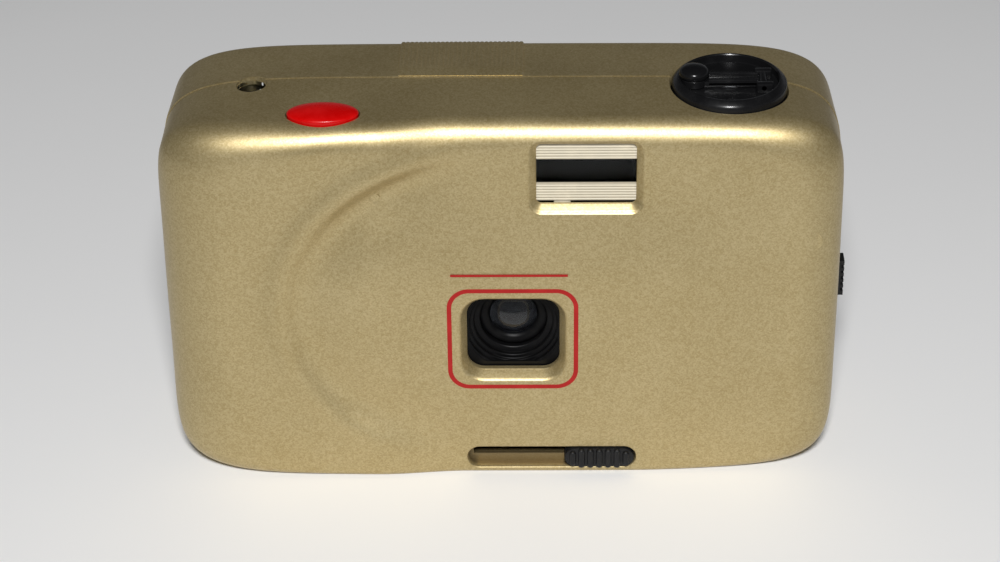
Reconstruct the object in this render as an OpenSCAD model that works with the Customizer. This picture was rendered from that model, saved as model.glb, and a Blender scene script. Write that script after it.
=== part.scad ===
// Compact 35 mm film camera with a panorama switch.
// Millimetres, +X to the right as seen from the front, the lens looks along -Y, +Z up.
// The origin lies on the base, under the middle of the body's depth.

/* [Body] */
// Width of the body
body_w = 117; // [115:0.5:122]
// Height of the body
body_h = 69.4; // [69.2:0.1:71]
// Depth of the front cover at the grip, forwards from the seam
grip_depth = 18.7; // [18.5:0.1:20]
// Depth of the front cover at the lens
lens_depth = 18.2; // [17.8:0.1:18.4]
// Depth of the front cover around the viewfinder
top_depth = 16.5; // [16.2:0.1:17]
// Depth of the front cover at its lower edge
foot_depth = 17.5; // [17.2:0.1:18]
// Depth of the back door, backwards from the seam
door_depth = 15.4; // [15.2:0.1:17]
// Wall of the covers
wall = 1.8; // [1.5:0.1:2]
// Thinnest front wall, around the viewfinder
front_wall = 1.2; // [1:0.1:1.3]
// Squareness of the outline at the seam and the door, higher has tighter corners
squareness = 7.5; // [6:0.1:8]
// Squareness of the front face's outline
front_squareness = 9.5; // [8:0.1:11]
// Gap between the front cover and the door
seam_gap = 0.15; // [0.05:0.05:0.3]

/* [Lens] */
// Lens axis to the right of the middle
lens_x = 2; // [1.6:0.1:3]
// Height of the lens axis
lens_z = 28.9; // [28.5:0.1:29.3]
// Radius of the front lens
lens_r = 4.3; // [3.8:0.1:4.5]
// Width of the opening in the front cover, at its inner edge
opening_w = 15.9; // [15:0.1:16.2]
// Height of the opening in the front cover, at its inner edge
opening_h = 14.2; // [13.6:0.1:14.6]
// Width of the slope around the opening
opening_slope = 1.05; // [0.6:0.05:1.3]
// Radius of the aperture
aperture_r = 2.3; // [1.6:0.1:2.6]

/* [Film] */
// Width of the picture on the film
picture_w = 36; // [34:0.5:36.5]
// Height of the picture on the film
picture_h = 24; // [23:0.5:24.5]
// Height of a panorama picture
panorama_h = 13; // [12:0.5:14]
// Radius of a film cassette
cassette_r = 12.5; // [12.3:0.1:12.6]
// Height of a film cassette's body
cassette_h = 48; // [47:0.5:48.5]
// Space around the cassette
cassette_gap = 0.25; // [0.15:0.05:0.35]
// Cassette axis, inwards from the right side of the body
cassette_inset = 19.9; // [19.6:0.1:20.5]
// Cassette and rewind crank axis, forwards from the seam
cassette_fore = 2.4; // [2.2:0.1:2.6]
// Take-up spool axis, inwards from the left side of the body
spool_inset = 17.5; // [17.2:0.1:18]
// Take-up spool axis, backwards from the seam
spool_back = 2.3; // [2:0.1:2.4]
// Radius of the take-up spool's drum
spool_r = 6; // [5:0.25:6.5]
// Radius of the take-up chamber
take_up_r = 10.8; // [10.2:0.1:11]
// Teeth on each wheel of the film sprocket
sprocket_teeth = 8; // [6:1:10]
// Radius of the sprocket's rim
sprocket_r = 6; // [5.4:0.1:6.1]

/* [Viewfinder] */
// Viewfinder axis to the right of the middle
finder_x = 14.4; // [14:0.1:15]
// Height of the viewfinder axis
finder_z = 59.2; // [59:0.1:59.3]
// Width of the viewfinder window
finder_w = 16.7; // [15:0.1:17.5]
// Height of the viewfinder window
finder_h = 11.1; // [10.4:0.1:11.4]
// Width of the slope around the viewfinder window
finder_slope = 0.95; // [0.5:0.05:1.1]
// Height of each blind in front of the viewfinder
blind_h = 3.1; // [2.8:0.1:3.1]
// Travel of each viewfinder blind
blind_travel = 1.9; // [1.6:0.1:1.9]

/* [Panorama switch] */
// Length of the slot
slot_w = 29.3; // [28:0.1:30]
// Height of the slot
slot_h = 4.1; // [3.8:0.1:4.3]
// Slot's middle, right of the body's middle
slot_x = 8.55; // [8:0.05:9.5]
// Slot's middle above the base
slot_z = 3.25; // [3.15:0.05:3.4]
// Length of the ribbed knob
knob_w = 12.3; // [11:0.1:13]
// How far the knob stands out of the front
knob_out = 0.9; // [0.3:0.1:1.4]
// Play of the knob in its slot
knob_play = 0.15; // [0.1:0.05:0.25]
// Diameter of the guide pins
pin_d = 1.6; // [1.2:0.1:1.8]
// Play of the guide pins in their slots
pin_play = 0.1; // [0.05:0.05:0.15]

/* [Controls] */
// Length of the oval shutter button
button_w = 12; // [11:0.25:12.5]
// Depth of the oval shutter button
button_d = 8.6; // [8:0.2:9]
// Shutter button, left of the middle
button_left = 29.3; // [28.5:0.1:30]
// Shutter button, forwards from the seam
button_fore = 12.9; // [12.4:0.1:13]
// Travel of the shutter button
button_travel = 1.6; // [1.2:0.1:1.8]
// Gap around the shutter button
button_gap = 0.25; // [0.15:0.05:0.35]
// Radius of the frame counter's hole
counter_r = 2.6; // [2.2:0.1:2.8]
// Frame counter's hole, left of the middle
counter_left = 42; // [41.5:0.1:42.5]
// Frame counter's hole, forwards from the seam
counter_fore = 1.3; // [1:0.1:1.6]
// Radius of the counter dial
dial_r = 8; // [7.6:0.1:8.2]
// Radius of the thumbwheel
wheel_r = 14.3; // [14.1:0.1:14.6]
// Thickness of the thumbwheel
wheel_t = 4; // [3.4:0.1:4.2]
// Radius of the rewind crank's disc
crank_r = 9.7; // [9.2:0.1:9.9]
// Gap around the rewind crank's disc
crank_gap = 0.3; // [0.2:0.05:0.4]
// How far the crank's disc stands above the top
crank_out = 1.1; // [0.8:0.1:1.5]
// Width of the crank's handle
handle_w = 3; // [2.6:0.1:3.4]

/* [Door] */
// Lower end of the hinge pin
hinge_z = 12.5; // [12.5:0.5:16]
// Length of the hinge pin
hinge_l = 43.5; // [36:0.5:43.5]
// Radius of the hinge knuckles
knuckle_r = 1.4; // [1.25:0.05:1.4]
// Radius of the hinge pin
hinge_pin_r = 0.6; // [0.5:0.05:0.7]
// Height of the latch's knob
latch_h = 7; // [6:0.25:8]
// How far the latch stands out of the side
latch_out = 1.7; // [1.2:0.1:2]
// Travel of the latch
latch_travel = 4; // [3:0.25:4.5]

/* [Hidden] */
$fn = 48;
eps = 0.01;
link_step = 0.03;
far = 40;

// Planes across the body
seam_y = (grip_depth - door_depth) / 2;
back_y = seam_y + door_depth;
cavity_y = seam_y - top_depth + front_wall;
door_cavity_y = back_y - wall;
lens_face_y = seam_y - lens_depth;
foot_face_y = seam_y - foot_depth;

// Rounds of the front cover's edge, each as its width and its depth
left_round = [11.8, 9.8];
right_round = [7.6, 6.3];
top_round = [4.5, 4];
bottom_round = [1.4, 1.4];
door_round = 3;
draft = 0.6;
base_flat = 0.35;
// Share by which the sides and the top bow outwards
side_bow = 0.002;
mid_z = (body_h - base_flat) / 2;
half_h = (body_h + base_flat) / 2;
// Crescent that bounds the grip, and the span over which the grip fades into the front
crescent_mid = [-5, mid_z - 1.5];
crescent_half = [33, 30.5];
crescent_span = 31.5;
crescent_w = 6;
grip_end = [-22, -6];
plateau_top = [16, 23.5];
outline_points = 64;
round_steps = 4;
face_rings = 9;

// Film path
cassette_x = body_w / 2 - cassette_inset;
cassette_y = seam_y - cassette_fore;
chamber_r = cassette_r + cassette_gap;
chamber_wall = 1.2;
chassis_gap = 0.12;
film_y = cassette_y + cassette_r + 0.2;
rail_h = 0.2;
gate_y = film_y - rail_h;
gate_t = 1.4;
spool_x = spool_inset - body_w / 2;
spool_y = seam_y + spool_back;
sprocket_x = spool_x + take_up_r + 6.5;
sprocket_y = film_y - 0.15 - sprocket_r;
floor_z = lens_z - cassette_h / 2 - chamber_wall;
roof_z = lens_z + cassette_h / 2;
plate_t = 1.2;

// Masks and blinds behind the front cover
mask_t = 0.8;
mask_gap = 0.3;
mask_y = gate_y - gate_t - mask_gap - mask_t;
mask_travel = (picture_h - panorama_h) / 2;
box_back_y = mask_y - mask_gap;
blind_t = 0.9;
blind_y = cavity_y + 0.4;
cam_t = 0.8;
cam_y = blind_y + blind_t + 0.3;
slot_r = pin_d / 2 + pin_play;
slider_travel = slot_w - knob_w - 2 * knob_play;
knob_x = slot_x + slot_w / 2 - knob_play - knob_w / 2;
leg_w = 3;
pocket_depth = 1.8;
mask_rise = 15;
mask_pin_x = -12;
upper_pin = [2.7, 46.1];
lower_pin = [10.4, 43.9];
blind_gap = 4.8;
spine_w = 3.4;
cam_rim = 1.2;
spine_x = mask_pin_x - slot_r - cam_rim - spine_w;

// Lens and shutter
opening_z = lens_z - 0.8;
shroud_y = cavity_y + 0.05;
shroud_r = 9.4;
ring_y = lens_face_y + 6.8;
barrel_r = lens_r + 1.5;
barrel_l = 4;
shutter_y = ring_y + barrel_l;
shutter_t = 0.8;
box_front_y = shutter_y + shutter_t + 1.1;
blade_y = shutter_y + shutter_t + 0.3;
blade_t = 0.4;
blade_pivot = [lens_x - 6.6, lens_z - 5.7];
striker_pivot = [lens_x - 9, lens_z + 18.3];
striker_pin = [lens_x - 10.9, lens_z + 7.3];
striker_end = striker_pin + [-1.9, 0.25];
blade_r = 3;
blade_open = 37;
blade_pin_r = 0.6;
pivot_r = 0.9;
spring_post = [lens_x - 14.5, lens_z - 4];
striker_y = shutter_y - 1.4;
striker_t = 0.8;

// Controls
button_x = -button_left;
button_y = seam_y - button_fore;
stem_z = 55.7;
cap_z = 63.1;
flange_z = 64.9;
button_out = 0.4;
lever_z = stem_z - 0.3;
lever_t = 1;
lever_pivot_x = button_x + 8.4;
dial_x = dial_r - 1.3 - counter_left;
dial_y = seam_y - counter_fore;
dial_z = 64.2;
dial_t = 1;
window_z = body_h - 2.3;
wheel_z = roof_z + plate_t + 0.6;
crank_z = body_h - 2.6;
handle_z = body_h + crank_out - 1.4;
handle_t = 1.5;
handle_pivot = cassette_x + 5.6;
crank_rim = crank_r - 1.3;
knob_arm = 6;
crank_knob_r = 2.1;
crank_pin_r = 0.4;
shaft_r = 2;
shaft_play = 0.06;

spring_room = 3.2;
shelf_z = cap_z - spring_room - button_travel;
stem_r = 1.4;
spring_wire = 0.45;
lever_y = button_y - 0.8;
lever_w = 1.6;
lever_pivot_z = lever_z - 0.5;
lever_pin_r = 0.8;
dial_pin_r = 1.2;
screw_r = 0.85;
rewind_button_y = seam_y - 4;
finder_wall = 1.2;
cover_gap = 0.15;
front_inset = [5.6, 2.4];
slope_depth = 2;
eyepiece_w = 9.5;
eyepiece_h = 7.5;
film_window_w = 6;
film_window_h = 22;
post_y = seam_y - 11;
lug_y = post_y + 3.85;
screw_head_r = 1.8;
sprocket_shaft_r = 1.5;
sprocket_hub_r = 3;
tooth_h = 1;
tooth_w = 1.9;
tooth_z = 14.7;
arm_z = 7.6;
box_wall = 1;
cone_r = 7;
pawl_pivot = [spool_x + 22.4, spool_y - 0.6];
boss_r = 1.9;
shutter_bosses = [for (i = [-1, 1], j = [-1, 1]) [lens_x + i * 15, lens_z + j * 10.5]];
pane_t = 1;
thumb_ribs = 28;
thumb_x = -17.3;
thumb_w = 21.2;
black = [0.1, 0.1, 0.11];
steel = [0.72, 0.73, 0.75];
gold = [0.72, 0.63, 0.43];
clear = [0.75, 0.85, 0.92];
post_inset = [8, 6.5];
post_z = [11, 46.2];
posts = [for (x = [post_inset[0] - body_w / 2, body_w / 2 - post_inset[1]], z = post_z) [x, z]];
post_r = 2.2;

// Door furniture
hinge_x = knuckle_r + 0.5 - body_w / 2;
hinge_relief = knuckle_r + 0.7;
knuckles = 7;
relief_z0 = 7.4;
relief_z1 = 61.8;
relief_x = hinge_x + 2.6;
latch_y = seam_y + 2.6;
latch_z = 28.5;
latch_low = latch_z - latch_h / 2 - latch_travel;
latch_high = latch_z + latch_h / 2;
hook_z = latch_z + 1.5;
lip_h = 2.5;
catch_z = hook_z - lip_h - 2 - 4.5;
catch_h = 4.5;
hook_x = body_w / 2 - 3.7;
hook_t = 1.4;
catch_y = seam_y - 4.4;
plate_y = film_y + 0.2;
plate_h = 31;
plate_w = 42;

// Smooth step from 0 at a to 1 at b
function ease(v, a, b) =
    let (t = min(1, max(0, (v - a) / (b - a)))) t * t * (3 - 2 * t);

// Place of the blade's pin after a turn by a, in X and Z
function pin_at(a) =
    let (d = striker_pin - blade_pivot)
    blade_pivot + [d[0] * cos(a) + d[1] * sin(a), d[1] * cos(a) - d[0] * sin(a)];

// Distance inside the crescent that bounds the grip, negative on the grip
function crescent(x, z) =
    let (u = (x - crescent_mid[0]) / crescent_half[0], v = (z - crescent_mid[1]) / crescent_half[1])
    crescent_span * (1 - sqrt(u * u + v * v));

// Share of the grip's raised face at a point of the front
function grip(x, z) = (1 - ease(crescent(x, z), 0, crescent_w)) * (1 - ease(x, grip_end[0], grip_end[1]));

// Depth of the front face, forwards from the seam
function face_depth(x, z) =
    let (g = grip(x, z),
         rise = 1 - ease(z, lens_z + plateau_top[0], lens_z + plateau_top[1]),
         side = 1 - ease(x, lens_x + 20, body_w / 2 - 8),
         foot = lens_depth - (lens_depth - foot_depth) * (1 - ease(z, 2, 14)))
    g * grip_depth + (1 - g) * (top_depth + (foot - top_depth) * rise * side);

// Outline of the body at angle a, with its width and height taken in on each side
function outline(a, e, q = squareness) =
    let (c = cos(a), s = sin(a),
         r = pow(pow(abs(c), q) + pow(abs(s), q), -1 / q)
             * (1 - side_bow * pow(sin(2 * a), 2)))
    [(body_w / 2 - (c < 0 ? e[0] : e[1])) * r * c,
     mid_z + (half_h - (s > 0 ? e[2] : e[3])) * r * s];

// Share of the sides, against top and bottom, in an edge round at angle a
function side_share(a) = let (c = pow(cos(a), 4), s = pow(sin(a), 4)) c / (c + s);

angles = [for (i = [0:outline_points - 1]) 360 * (i + 0.5) / outline_points];

// Points around the front cover's edge, u degrees into its round
function front_ring(u) =
    [for (a = angles)
        let (in = 1 - cos(u), share = side_share(a),
             p = outline(a, [left_round[0] * in + draft, right_round[0] * in + draft,
                             top_round[0] * in + draft, bottom_round[0] * in],
                         front_squareness),
             deep = share * (p[0] < 0 ? left_round[1] : right_round[1])
                  + (1 - share) * (p[1] > mid_z ? top_round[1] : bottom_round[1]))
        [p[0], seam_y - face_depth(p[0], p[1]) + deep * (1 - sin(u)), p[1]]];

// Points of the front face, on a ring at share s of the way out to its edge
function face_ring(s) =
    [for (p = front_ring(90))
        let (x = s * p[0], z = mid_z + s * (p[2] - mid_z))
        [x, seam_y - face_depth(x, z), z]];

// Points around the door's edge, u degrees into its round
function door_ring(u) =
    [for (a = angles)
        let (in = door_round * (1 - cos(u)) + draft * 0.6,
             p = outline(a, [in, in, in, door_round * (1 - cos(u))]))
        [p[0], back_y - door_round * (1 - sin(u)), p[1]]];

function seam_ring(y) = [for (a = angles) let (p = outline(a, [0, 0, 0, 0])) [p[0], y, p[1]]];

// Closed skin through rings of points, flipped where the rings run towards +Y
module skin(rings, flip) {
    n = outline_points;
    m = len(rings);
    sides = [for (k = [0:m - 2], i = [0:n - 1])
        let (j = (i + 1) % n, a = k * n + i, b = k * n + j, c = a + n, d = b + n)
        each flip ? [[a, b, d], [a, d, c]] : [[a, d, b], [a, c, d]]];
    first = [for (i = [0:n - 1]) flip ? n - 1 - i : i];
    last = [for (i = [0:n - 1]) (m - 1) * n + (flip ? i : n - 1 - i)];
    polyhedron([for (r = rings) each r], concat(sides, [first, last]));
}

// Box from one corner to the opposite one
module block(lo, hi) { translate(lo) cube(hi - lo); }

// Cylinder along Y from y0 to y1
module y_rod(x, z, y0, y1, r) {
    translate([x, y1, z]) rotate([90, 0, 0]) cylinder(h = y1 - y0, r = r);
}

// Cylinder along Z from z0 to z1
module z_rod(x, y, z0, z1, r) { translate([x, y, z0]) cylinder(h = z1 - z0, r = r); }

// Outline of the body, taken in by e, from y0 to y1
module outline_prism(e, y0, y1) {
    translate([0, y1, 0]) rotate([90, 0, 0]) linear_extrude(y1 - y0)
        polygon([for (a = angles) outline(a, [e[0], e[0], e[1], e[1]])]);
}

// Flat shape drawn in X and Z, thick from y0 to y1
module upright(y0, y1) {
    translate([0, y1, 0]) rotate([90, 0, 0]) linear_extrude(y1 - y0) children();
}

// Rectangle with round corners, about its middle
module round_rect(w, h, r) {
    union() {
        square([w - 2 * r, h], center = true);
        square([w, h - 2 * r], center = true);
        for (i = [-1, 1], j = [-1, 1]) translate([i * (w / 2 - r), j * (h / 2 - r)]) circle(r);
    }
}

// Ellipse of width w and depth d
module ellipse(w, d) { polygon([for (i = [0:63]) [w / 2 * cos(i * 5.625), d / 2 * sin(i * 5.625)]]); }

// Window of w by h with sides that widen by slope from y1 out to y0, and run on past both
module sloped_window(x, z, w, h, slope, y0, y1) {
    k = slope / (y1 - y0);
    out = y0 - 2;
    in = y1 + 0.3;
    a = k * (y1 - out);
    b = k * (y1 - in);
    translate([x, 0, z]) intersection() {
        translate([0, 0, -h]) linear_extrude(2 * h)
            polygon([[-w / 2 - a, out], [w / 2 + a, out], [w / 2 + b, in], [-w / 2 - b, in]]);
        rotate([90, 0, 90]) translate([0, 0, -w]) linear_extrude(2 * w)
            polygon([[out, -h / 2 - a], [out, h / 2 + a], [in, h / 2 + b], [in, -h / 2 - b]]);
    }
}

// Straight link from p to q in X and Z, a little slimmer than its round ends, thick from y0 to y1
module link(p, q, r, y0, y1) {
    d = q - p;
    h = r - link_step;
    for (e = [p, q]) y_rod(e[0], e[1], y0, y1, r);
    translate([p[0], 0, p[1]]) rotate([0, -atan2(d[1], d[0]), 0]) block([0, y0, -h], [norm(d), y1, h]);
}

// Slot with round ends from p to q, as one outline
module stadium(p, q, r) {
    t = atan2(q[1] - p[1], q[0] - p[0]);
    polygon([for (e = [[p, t + 90], [q, t - 90]], k = [0:10:180])
             e[0] + r * [cos(e[1] + k), sin(e[1] + k)]]);
}

// Body of revolution around an axis along Y, its profile's height running from y towards +Y
module y_turned(x, y, z) { translate([x, y, z]) rotate([-90, 0, 0]) rotate_extrude() children(); }

// Coil spring of wire radius w along Z, from 0 to h, with its axis on Z
module coil(h, r, w, turns) {
    steps = turns * 12;
    sides = 6;
    pts = [for (i = [0:steps], k = [0:sides - 1])
        let (a = i * 30, b = k * 360 / sides)
        [(r + w * cos(b)) * cos(a), (r + w * cos(b)) * sin(a),
         w + (h - 2 * w) * i / steps + w * sin(b)]];
    skin_faces = [for (i = [0:steps - 1], k = [0:sides - 1])
        let (j = (k + 1) % sides, a = i * sides + k, b = i * sides + j)
        each [[a, b, b + sides], [a, b + sides, a + sides]]];
    ends = [[for (k = [0:sides - 1]) sides - 1 - k],
            [for (k = [0:sides - 1]) steps * sides + k]];
    polyhedron(pts, concat(skin_faces, ends));
}

module front_shell() {
    skin(concat([seam_ring(seam_y)], [for (k = [0:round_steps]) front_ring(k * 90 / round_steps)],
                [for (k = [face_rings - 1:-1:1]) face_ring(k / face_rings)]), false);
}

// Room within the walls, less a gap all round, from y0 to y1: narrower where the front rounds off
module inside(gap, y0, y1) {
    outline_prism([wall + gap, wall + gap], seam_y - 11, y1);
    outline_prism([front_inset[0] + gap, front_inset[1] + gap], y0, seam_y - 11 + 2 * eps);
}

// Space inside the front cover, less what stands in it
module front_hollow() {
    difference() {
        inside(0, cavity_y, seam_y + 1);
        block([slot_x - slot_w / 2 - 2, cavity_y - 1, 0],
              [slot_x + slot_w / 2 + 2, cavity_y + 1, slot_z + slot_h / 2 + 1]);
        for (p = posts) y_rod(p[0], p[1], cavity_y - 1, post_y, post_r);
        // Shelf under the shutter button's spring
        block([button_x - 3.2, cavity_y - 1, shelf_z - 1.2], [button_x + 3.2, button_y + 2.6, shelf_z]);
        // Pins for the counter dial and the release lever
        z_rod(dial_x, dial_y, dial_z, body_h, dial_pin_r);
        y_rod(lever_pivot_x, lever_pivot_z, cavity_y - 1, lever_y + lever_w + 0.6, lever_pin_r);
        // Catch for the door latch
        block([hook_x - 1.5, catch_y, catch_z], [body_w / 2, catch_y + 1.4, catch_z + catch_h]);
    }
}

// Part of the hinge: knuckles first, first + 2 and so on, with their webs towards dir
module knuckle_row(first, dir, play) {
    step = hinge_l / knuckles;
    web = dir * (hinge_relief + 0.6);
    for (k = [first:2:knuckles - 1]) {
        z0 = hinge_z + k * step + play;
        z1 = hinge_z + (k + 1) * step - play;
        z_rod(hinge_x, seam_y, z0, z1, knuckle_r);
        block([hinge_x - knuckle_r + 0.1, min(seam_y, seam_y + web), z0],
              [hinge_x + 0.9, max(seam_y, seam_y + web), z1]);
    }
}

module front_cover() {
    color(gold) difference() {
        union() {
            difference() {
                front_shell();
                front_hollow();
                // Room for the hinge knuckles
                block([-body_w, seam_y - hinge_relief, relief_z0 - 0.2],
                      [relief_x, seam_y + 1, relief_z1 + 0.2]);
            }
            knuckle_row(0, -1, 0.1);
        }
        z_rod(button_x, button_y, shelf_z - 2, shelf_z + 1, stem_r + 0.2);
        for (p = posts) y_rod(p[0], p[1], post_y - 5, post_y + 1, screw_r);
        z_rod(dial_x, dial_y, dial_z - 1, dial_z + 2.4, screw_r - 0.2);
        z_rod(hinge_x, seam_y, hinge_z - 1, hinge_z + hinge_l + 1, hinge_pin_r + 0.03);
        // Flat base
        block([-body_w, -far, -5], [body_w, far, 0]);
        sloped_window(lens_x, opening_z, opening_w, opening_h, opening_slope,
                      lens_face_y, lens_face_y + slope_depth);
        translate([lens_x, 0, opening_z]) upright(lens_face_y + slope_depth - 0.4, cavity_y + 1)
            round_rect(opening_w, opening_h, 3);
        sloped_window(finder_x, finder_z, finder_w, finder_h, finder_slope,
                      cavity_y - front_wall, cavity_y);
        translate([slot_x, 0, slot_z]) upright(-far, foot_face_y + pocket_depth)
            round_rect(slot_w, slot_h, slot_h / 2 - eps);
        block([knob_x - slider_travel - leg_w - 0.2, -far, slot_z - 0.6],
              [knob_x + leg_w + 0.2, cavity_y + 2, slot_z + 1.2]);
        translate([button_x, button_y, body_h - 8]) linear_extrude(20)
            ellipse(button_w + 2 * button_gap, button_d + 2 * button_gap);
        z_rod(-counter_left, dial_y, body_h - 6, body_h + 1, counter_r);
        z_rod(cassette_x, cassette_y, body_h - 6, body_h + 1, crank_r + crank_gap);
        z_rod(sprocket_x, seam_y - 4, -1, wall + 3, 2.2);
    }
}

module door_shell() {
    skin(concat([seam_ring(seam_y + seam_gap)],
                [for (k = [0:round_steps]) door_ring(k * 90 / round_steps)]), true);
}

// Space inside the door, less the posts that carry the leaf spring
module door_hollow() {
    difference() {
        union() {
            outline_prism([wall, wall], seam_y - 1, back_y - door_round);
            outline_prism([wall + 1.6, wall + 1.6], back_y - door_round - eps, door_cavity_y);
        }
        for (i = [-1, 1]) y_rod(lens_x + i * 12, lens_z, plate_y + 1.5, door_cavity_y + 1, 1.2);
    }
}

module back_door() {
    color(gold) difference() {
        union() {
            difference() {
                door_shell();
                door_hollow();
                block([-body_w, seam_y - 1, relief_z0 - 0.2],
                      [relief_x, seam_y + hinge_relief, relief_z1 + 0.2]);
                block([body_w / 2 - 4, latch_y - 1.7, latch_low - 0.3],
                      [body_w / 2 + 2, latch_y + 1.7, latch_high + 0.3]);
            }
            knuckle_row(1, 1, 0.1);
        }
        z_rod(hinge_x, seam_y, hinge_z - 1, hinge_z + hinge_l + 1, hinge_pin_r + 0.06);
        // Flat base
        block([-body_w, -far, -5], [body_w, far, 0]);
        // Fine ribs for the thumb on top of the door
        for (k = [0:thumb_ribs])
            block([thumb_x + (k - 0.2) * thumb_w / thumb_ribs, seam_y + 0.8, body_h - 0.45],
                  [thumb_x + (k + 0.2) * thumb_w / thumb_ribs, back_y - 3, body_h + 1]);
        z_rod(-counter_left, dial_y, body_h - 6, body_h + 1, counter_r);
        z_rod(cassette_x, cassette_y, body_h - 6, body_h + 1, crank_r + crank_gap);
        z_rod(spool_x, spool_y, wheel_z - 0.5, wheel_z + wheel_t + 0.5, wheel_r + 0.5);
        translate([finder_x, 0, finder_z]) upright(door_cavity_y - 2, back_y + 1)
            round_rect(eyepiece_w, eyepiece_h, 2);
        translate([cassette_x, 0, lens_z]) upright(door_cavity_y - 2, back_y + 1)
            round_rect(film_window_w, film_window_h, 1.5);
    }
}

// Wall of a film chamber around an axis, open towards the film, from z0 to z1
module chamber(x, y, r, z0, z1, open_y) {
    difference() {
        union() {
            z_rod(x, y, z0, z1, r + chamber_wall);
            block([x - r - chamber_wall, y, z0], [x + r + chamber_wall, open_y, z1]);
        }
        z_rod(x, y, z0 - 1, z1 + 1, r);
        block([x - r, y, z0 - 1], [x + r, open_y + 1, z1 + 1]);
        block([x - far, open_y, z0 - 1], [x + far, open_y + far, z1 + 1]);
        block([x - far, cavity_y - far, z0 - 1], [x + far, cavity_y + chassis_gap, z1 + 1]);
    }
}

module chassis() {
    z0 = floor_z + chamber_wall;
    z1 = roof_z;
    seat_z = finder_z - finder_h / 2 - finder_wall;
    gate_x0 = spool_x + take_up_r;
    gate_x1 = cassette_x - chamber_r + 0.6;
    box_w = picture_w / 2 + 0.3;
    box_h = picture_h / 2 + 0.3;
    color(black) intersection() {
        inside(cover_gap, cavity_y + chassis_gap, back_y);
        difference() {
            union() {
                chamber(cassette_x, cassette_y, chamber_r, floor_z, roof_z + plate_t, gate_y - gate_t);
                chamber(spool_x, spool_y, take_up_r, floor_z, roof_z + plate_t, gate_y - gate_t);
                // Floors and roofs of the chambers, joined under and over the sprocket
                for (z = [floor_z, roof_z]) {
                    difference() {
                        union() {
                            z_rod(cassette_x, cassette_y, z, z + plate_t, chamber_r + 0.5);
                            z_rod(spool_x, spool_y, z, z + plate_t, take_up_r + 0.5);
                            block([spool_x, sprocket_y - 4, z], [gate_x0 + 14, gate_y, z + plate_t]);
                        }
                        block([-body_w, gate_y, z - 1], [body_w, gate_y + far, z + 3]);
                        block([-body_w, cavity_y - far, z - 1], [body_w, cavity_y + chassis_gap, z + 3]);
                    }
                }
                // Picture gate with its rails
                block([gate_x0, gate_y - gate_t, floor_z], [gate_x1, gate_y, seat_z]);
                for (i = [-1, 1], h = [picture_h / 2 + 0.6, picture_h / 2 + 5])
                    block([lens_x - box_w - 1, gate_y - eps, lens_z + i * h - 0.4],
                          [gate_x1 - 1, gate_y + rail_h - 0.05, lens_z + i * h + 0.4]);
                // Posts that carry the light box in front of the masks
                for (i = [-1, 1], j = [-1, 1]) {
                    x0 = lens_x + i * box_w;
                    x1 = lens_x + i * (box_w + 1.6);
                    x2 = lens_x + i * (box_w + 3.2);
                    block([min(x0, x2), box_front_y, lens_z + j * 6 - 2],
                          [max(x0, x2), box_back_y, lens_z + j * 6 + 2]);
                    block([min(x1, x2), box_back_y - eps, lens_z + j * 6 - 2],
                          [max(x1, x2), gate_y - eps, lens_z + j * 6 + 2]);
                }
                // Light box
                difference() {
                    block([lens_x - box_w - box_wall, box_front_y, lens_z - box_h - box_wall],
                          [lens_x + box_w + box_wall, box_back_y, lens_z + box_h + box_wall]);
                    block([lens_x - box_w, box_front_y + box_wall, lens_z - box_h],
                          [lens_x + box_w, box_back_y + 1, lens_z + box_h]);
                }
                for (p = shutter_bosses)
                    y_rod(p[0], p[1], shutter_y + shutter_t, box_front_y + eps, boss_r);
                // Lugs on the posts of the front cover
                for (p = posts)
                    block([min(p[0] - 2.9, p[0] + (p[0] < 0 ? 8 : -6)), post_y, p[1] - 2.6],
                          [max(p[0] + 2.2, p[0] + (p[0] < 0 ? 8 : -6)), lug_y, p[1] + 2.6]);
                // Arm over the rewind release button
                block([sprocket_x - 5, rewind_button_y - 3, arm_z],
                      [sprocket_x + 5, gate_y - 1, arm_z + 1.2]);
            }
            z_rod(cassette_x, cassette_y, z0, z1, chamber_r);
            z_rod(spool_x, spool_y, z0, z1, take_up_r);
            z_rod(sprocket_x, sprocket_y, z0, z1, sprocket_hub_r + 0.6);
            for (i = [-1, 1])
                z_rod(sprocket_x, sprocket_y, lens_z + i * tooth_z - tooth_w / 2 - 0.3,
                      lens_z + i * tooth_z + tooth_w / 2 + 0.3, sprocket_r + tooth_h + 0.4);
            z_rod(cassette_x, cassette_y, z1 - 1, z1 + 5, shaft_r + shaft_play);
            z_rod(spool_x, spool_y, floor_z - 1, z1 + 5, shaft_r + shaft_play);
            z_rod(sprocket_x, sprocket_y, floor_z - 1, z1 + 5, sprocket_shaft_r + shaft_play);
            block([lens_x - picture_w / 2, box_back_y, lens_z - picture_h / 2],
                  [lens_x + picture_w / 2, film_y + 1, lens_z + picture_h / 2]);
            y_rod(lens_x, lens_z, box_front_y - 1, box_front_y + box_wall + 1, cone_r);
            for (p = posts) {
                y_rod(p[0], p[1], post_y - 1, lug_y + 1, screw_r + 0.1);
                y_rod(p[0], p[1], lug_y, lug_y + 6, screw_head_r + 0.3);
            }
            for (p = shutter_bosses) y_rod(p[0], p[1], shutter_y, box_front_y + 0.5, screw_r);
            // Bearing of the ratchet pawl
            z_rod(pawl_pivot[0], pawl_pivot[1], z1 - 1, z1 + 5, 0.8);
        }
    }
}

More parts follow.
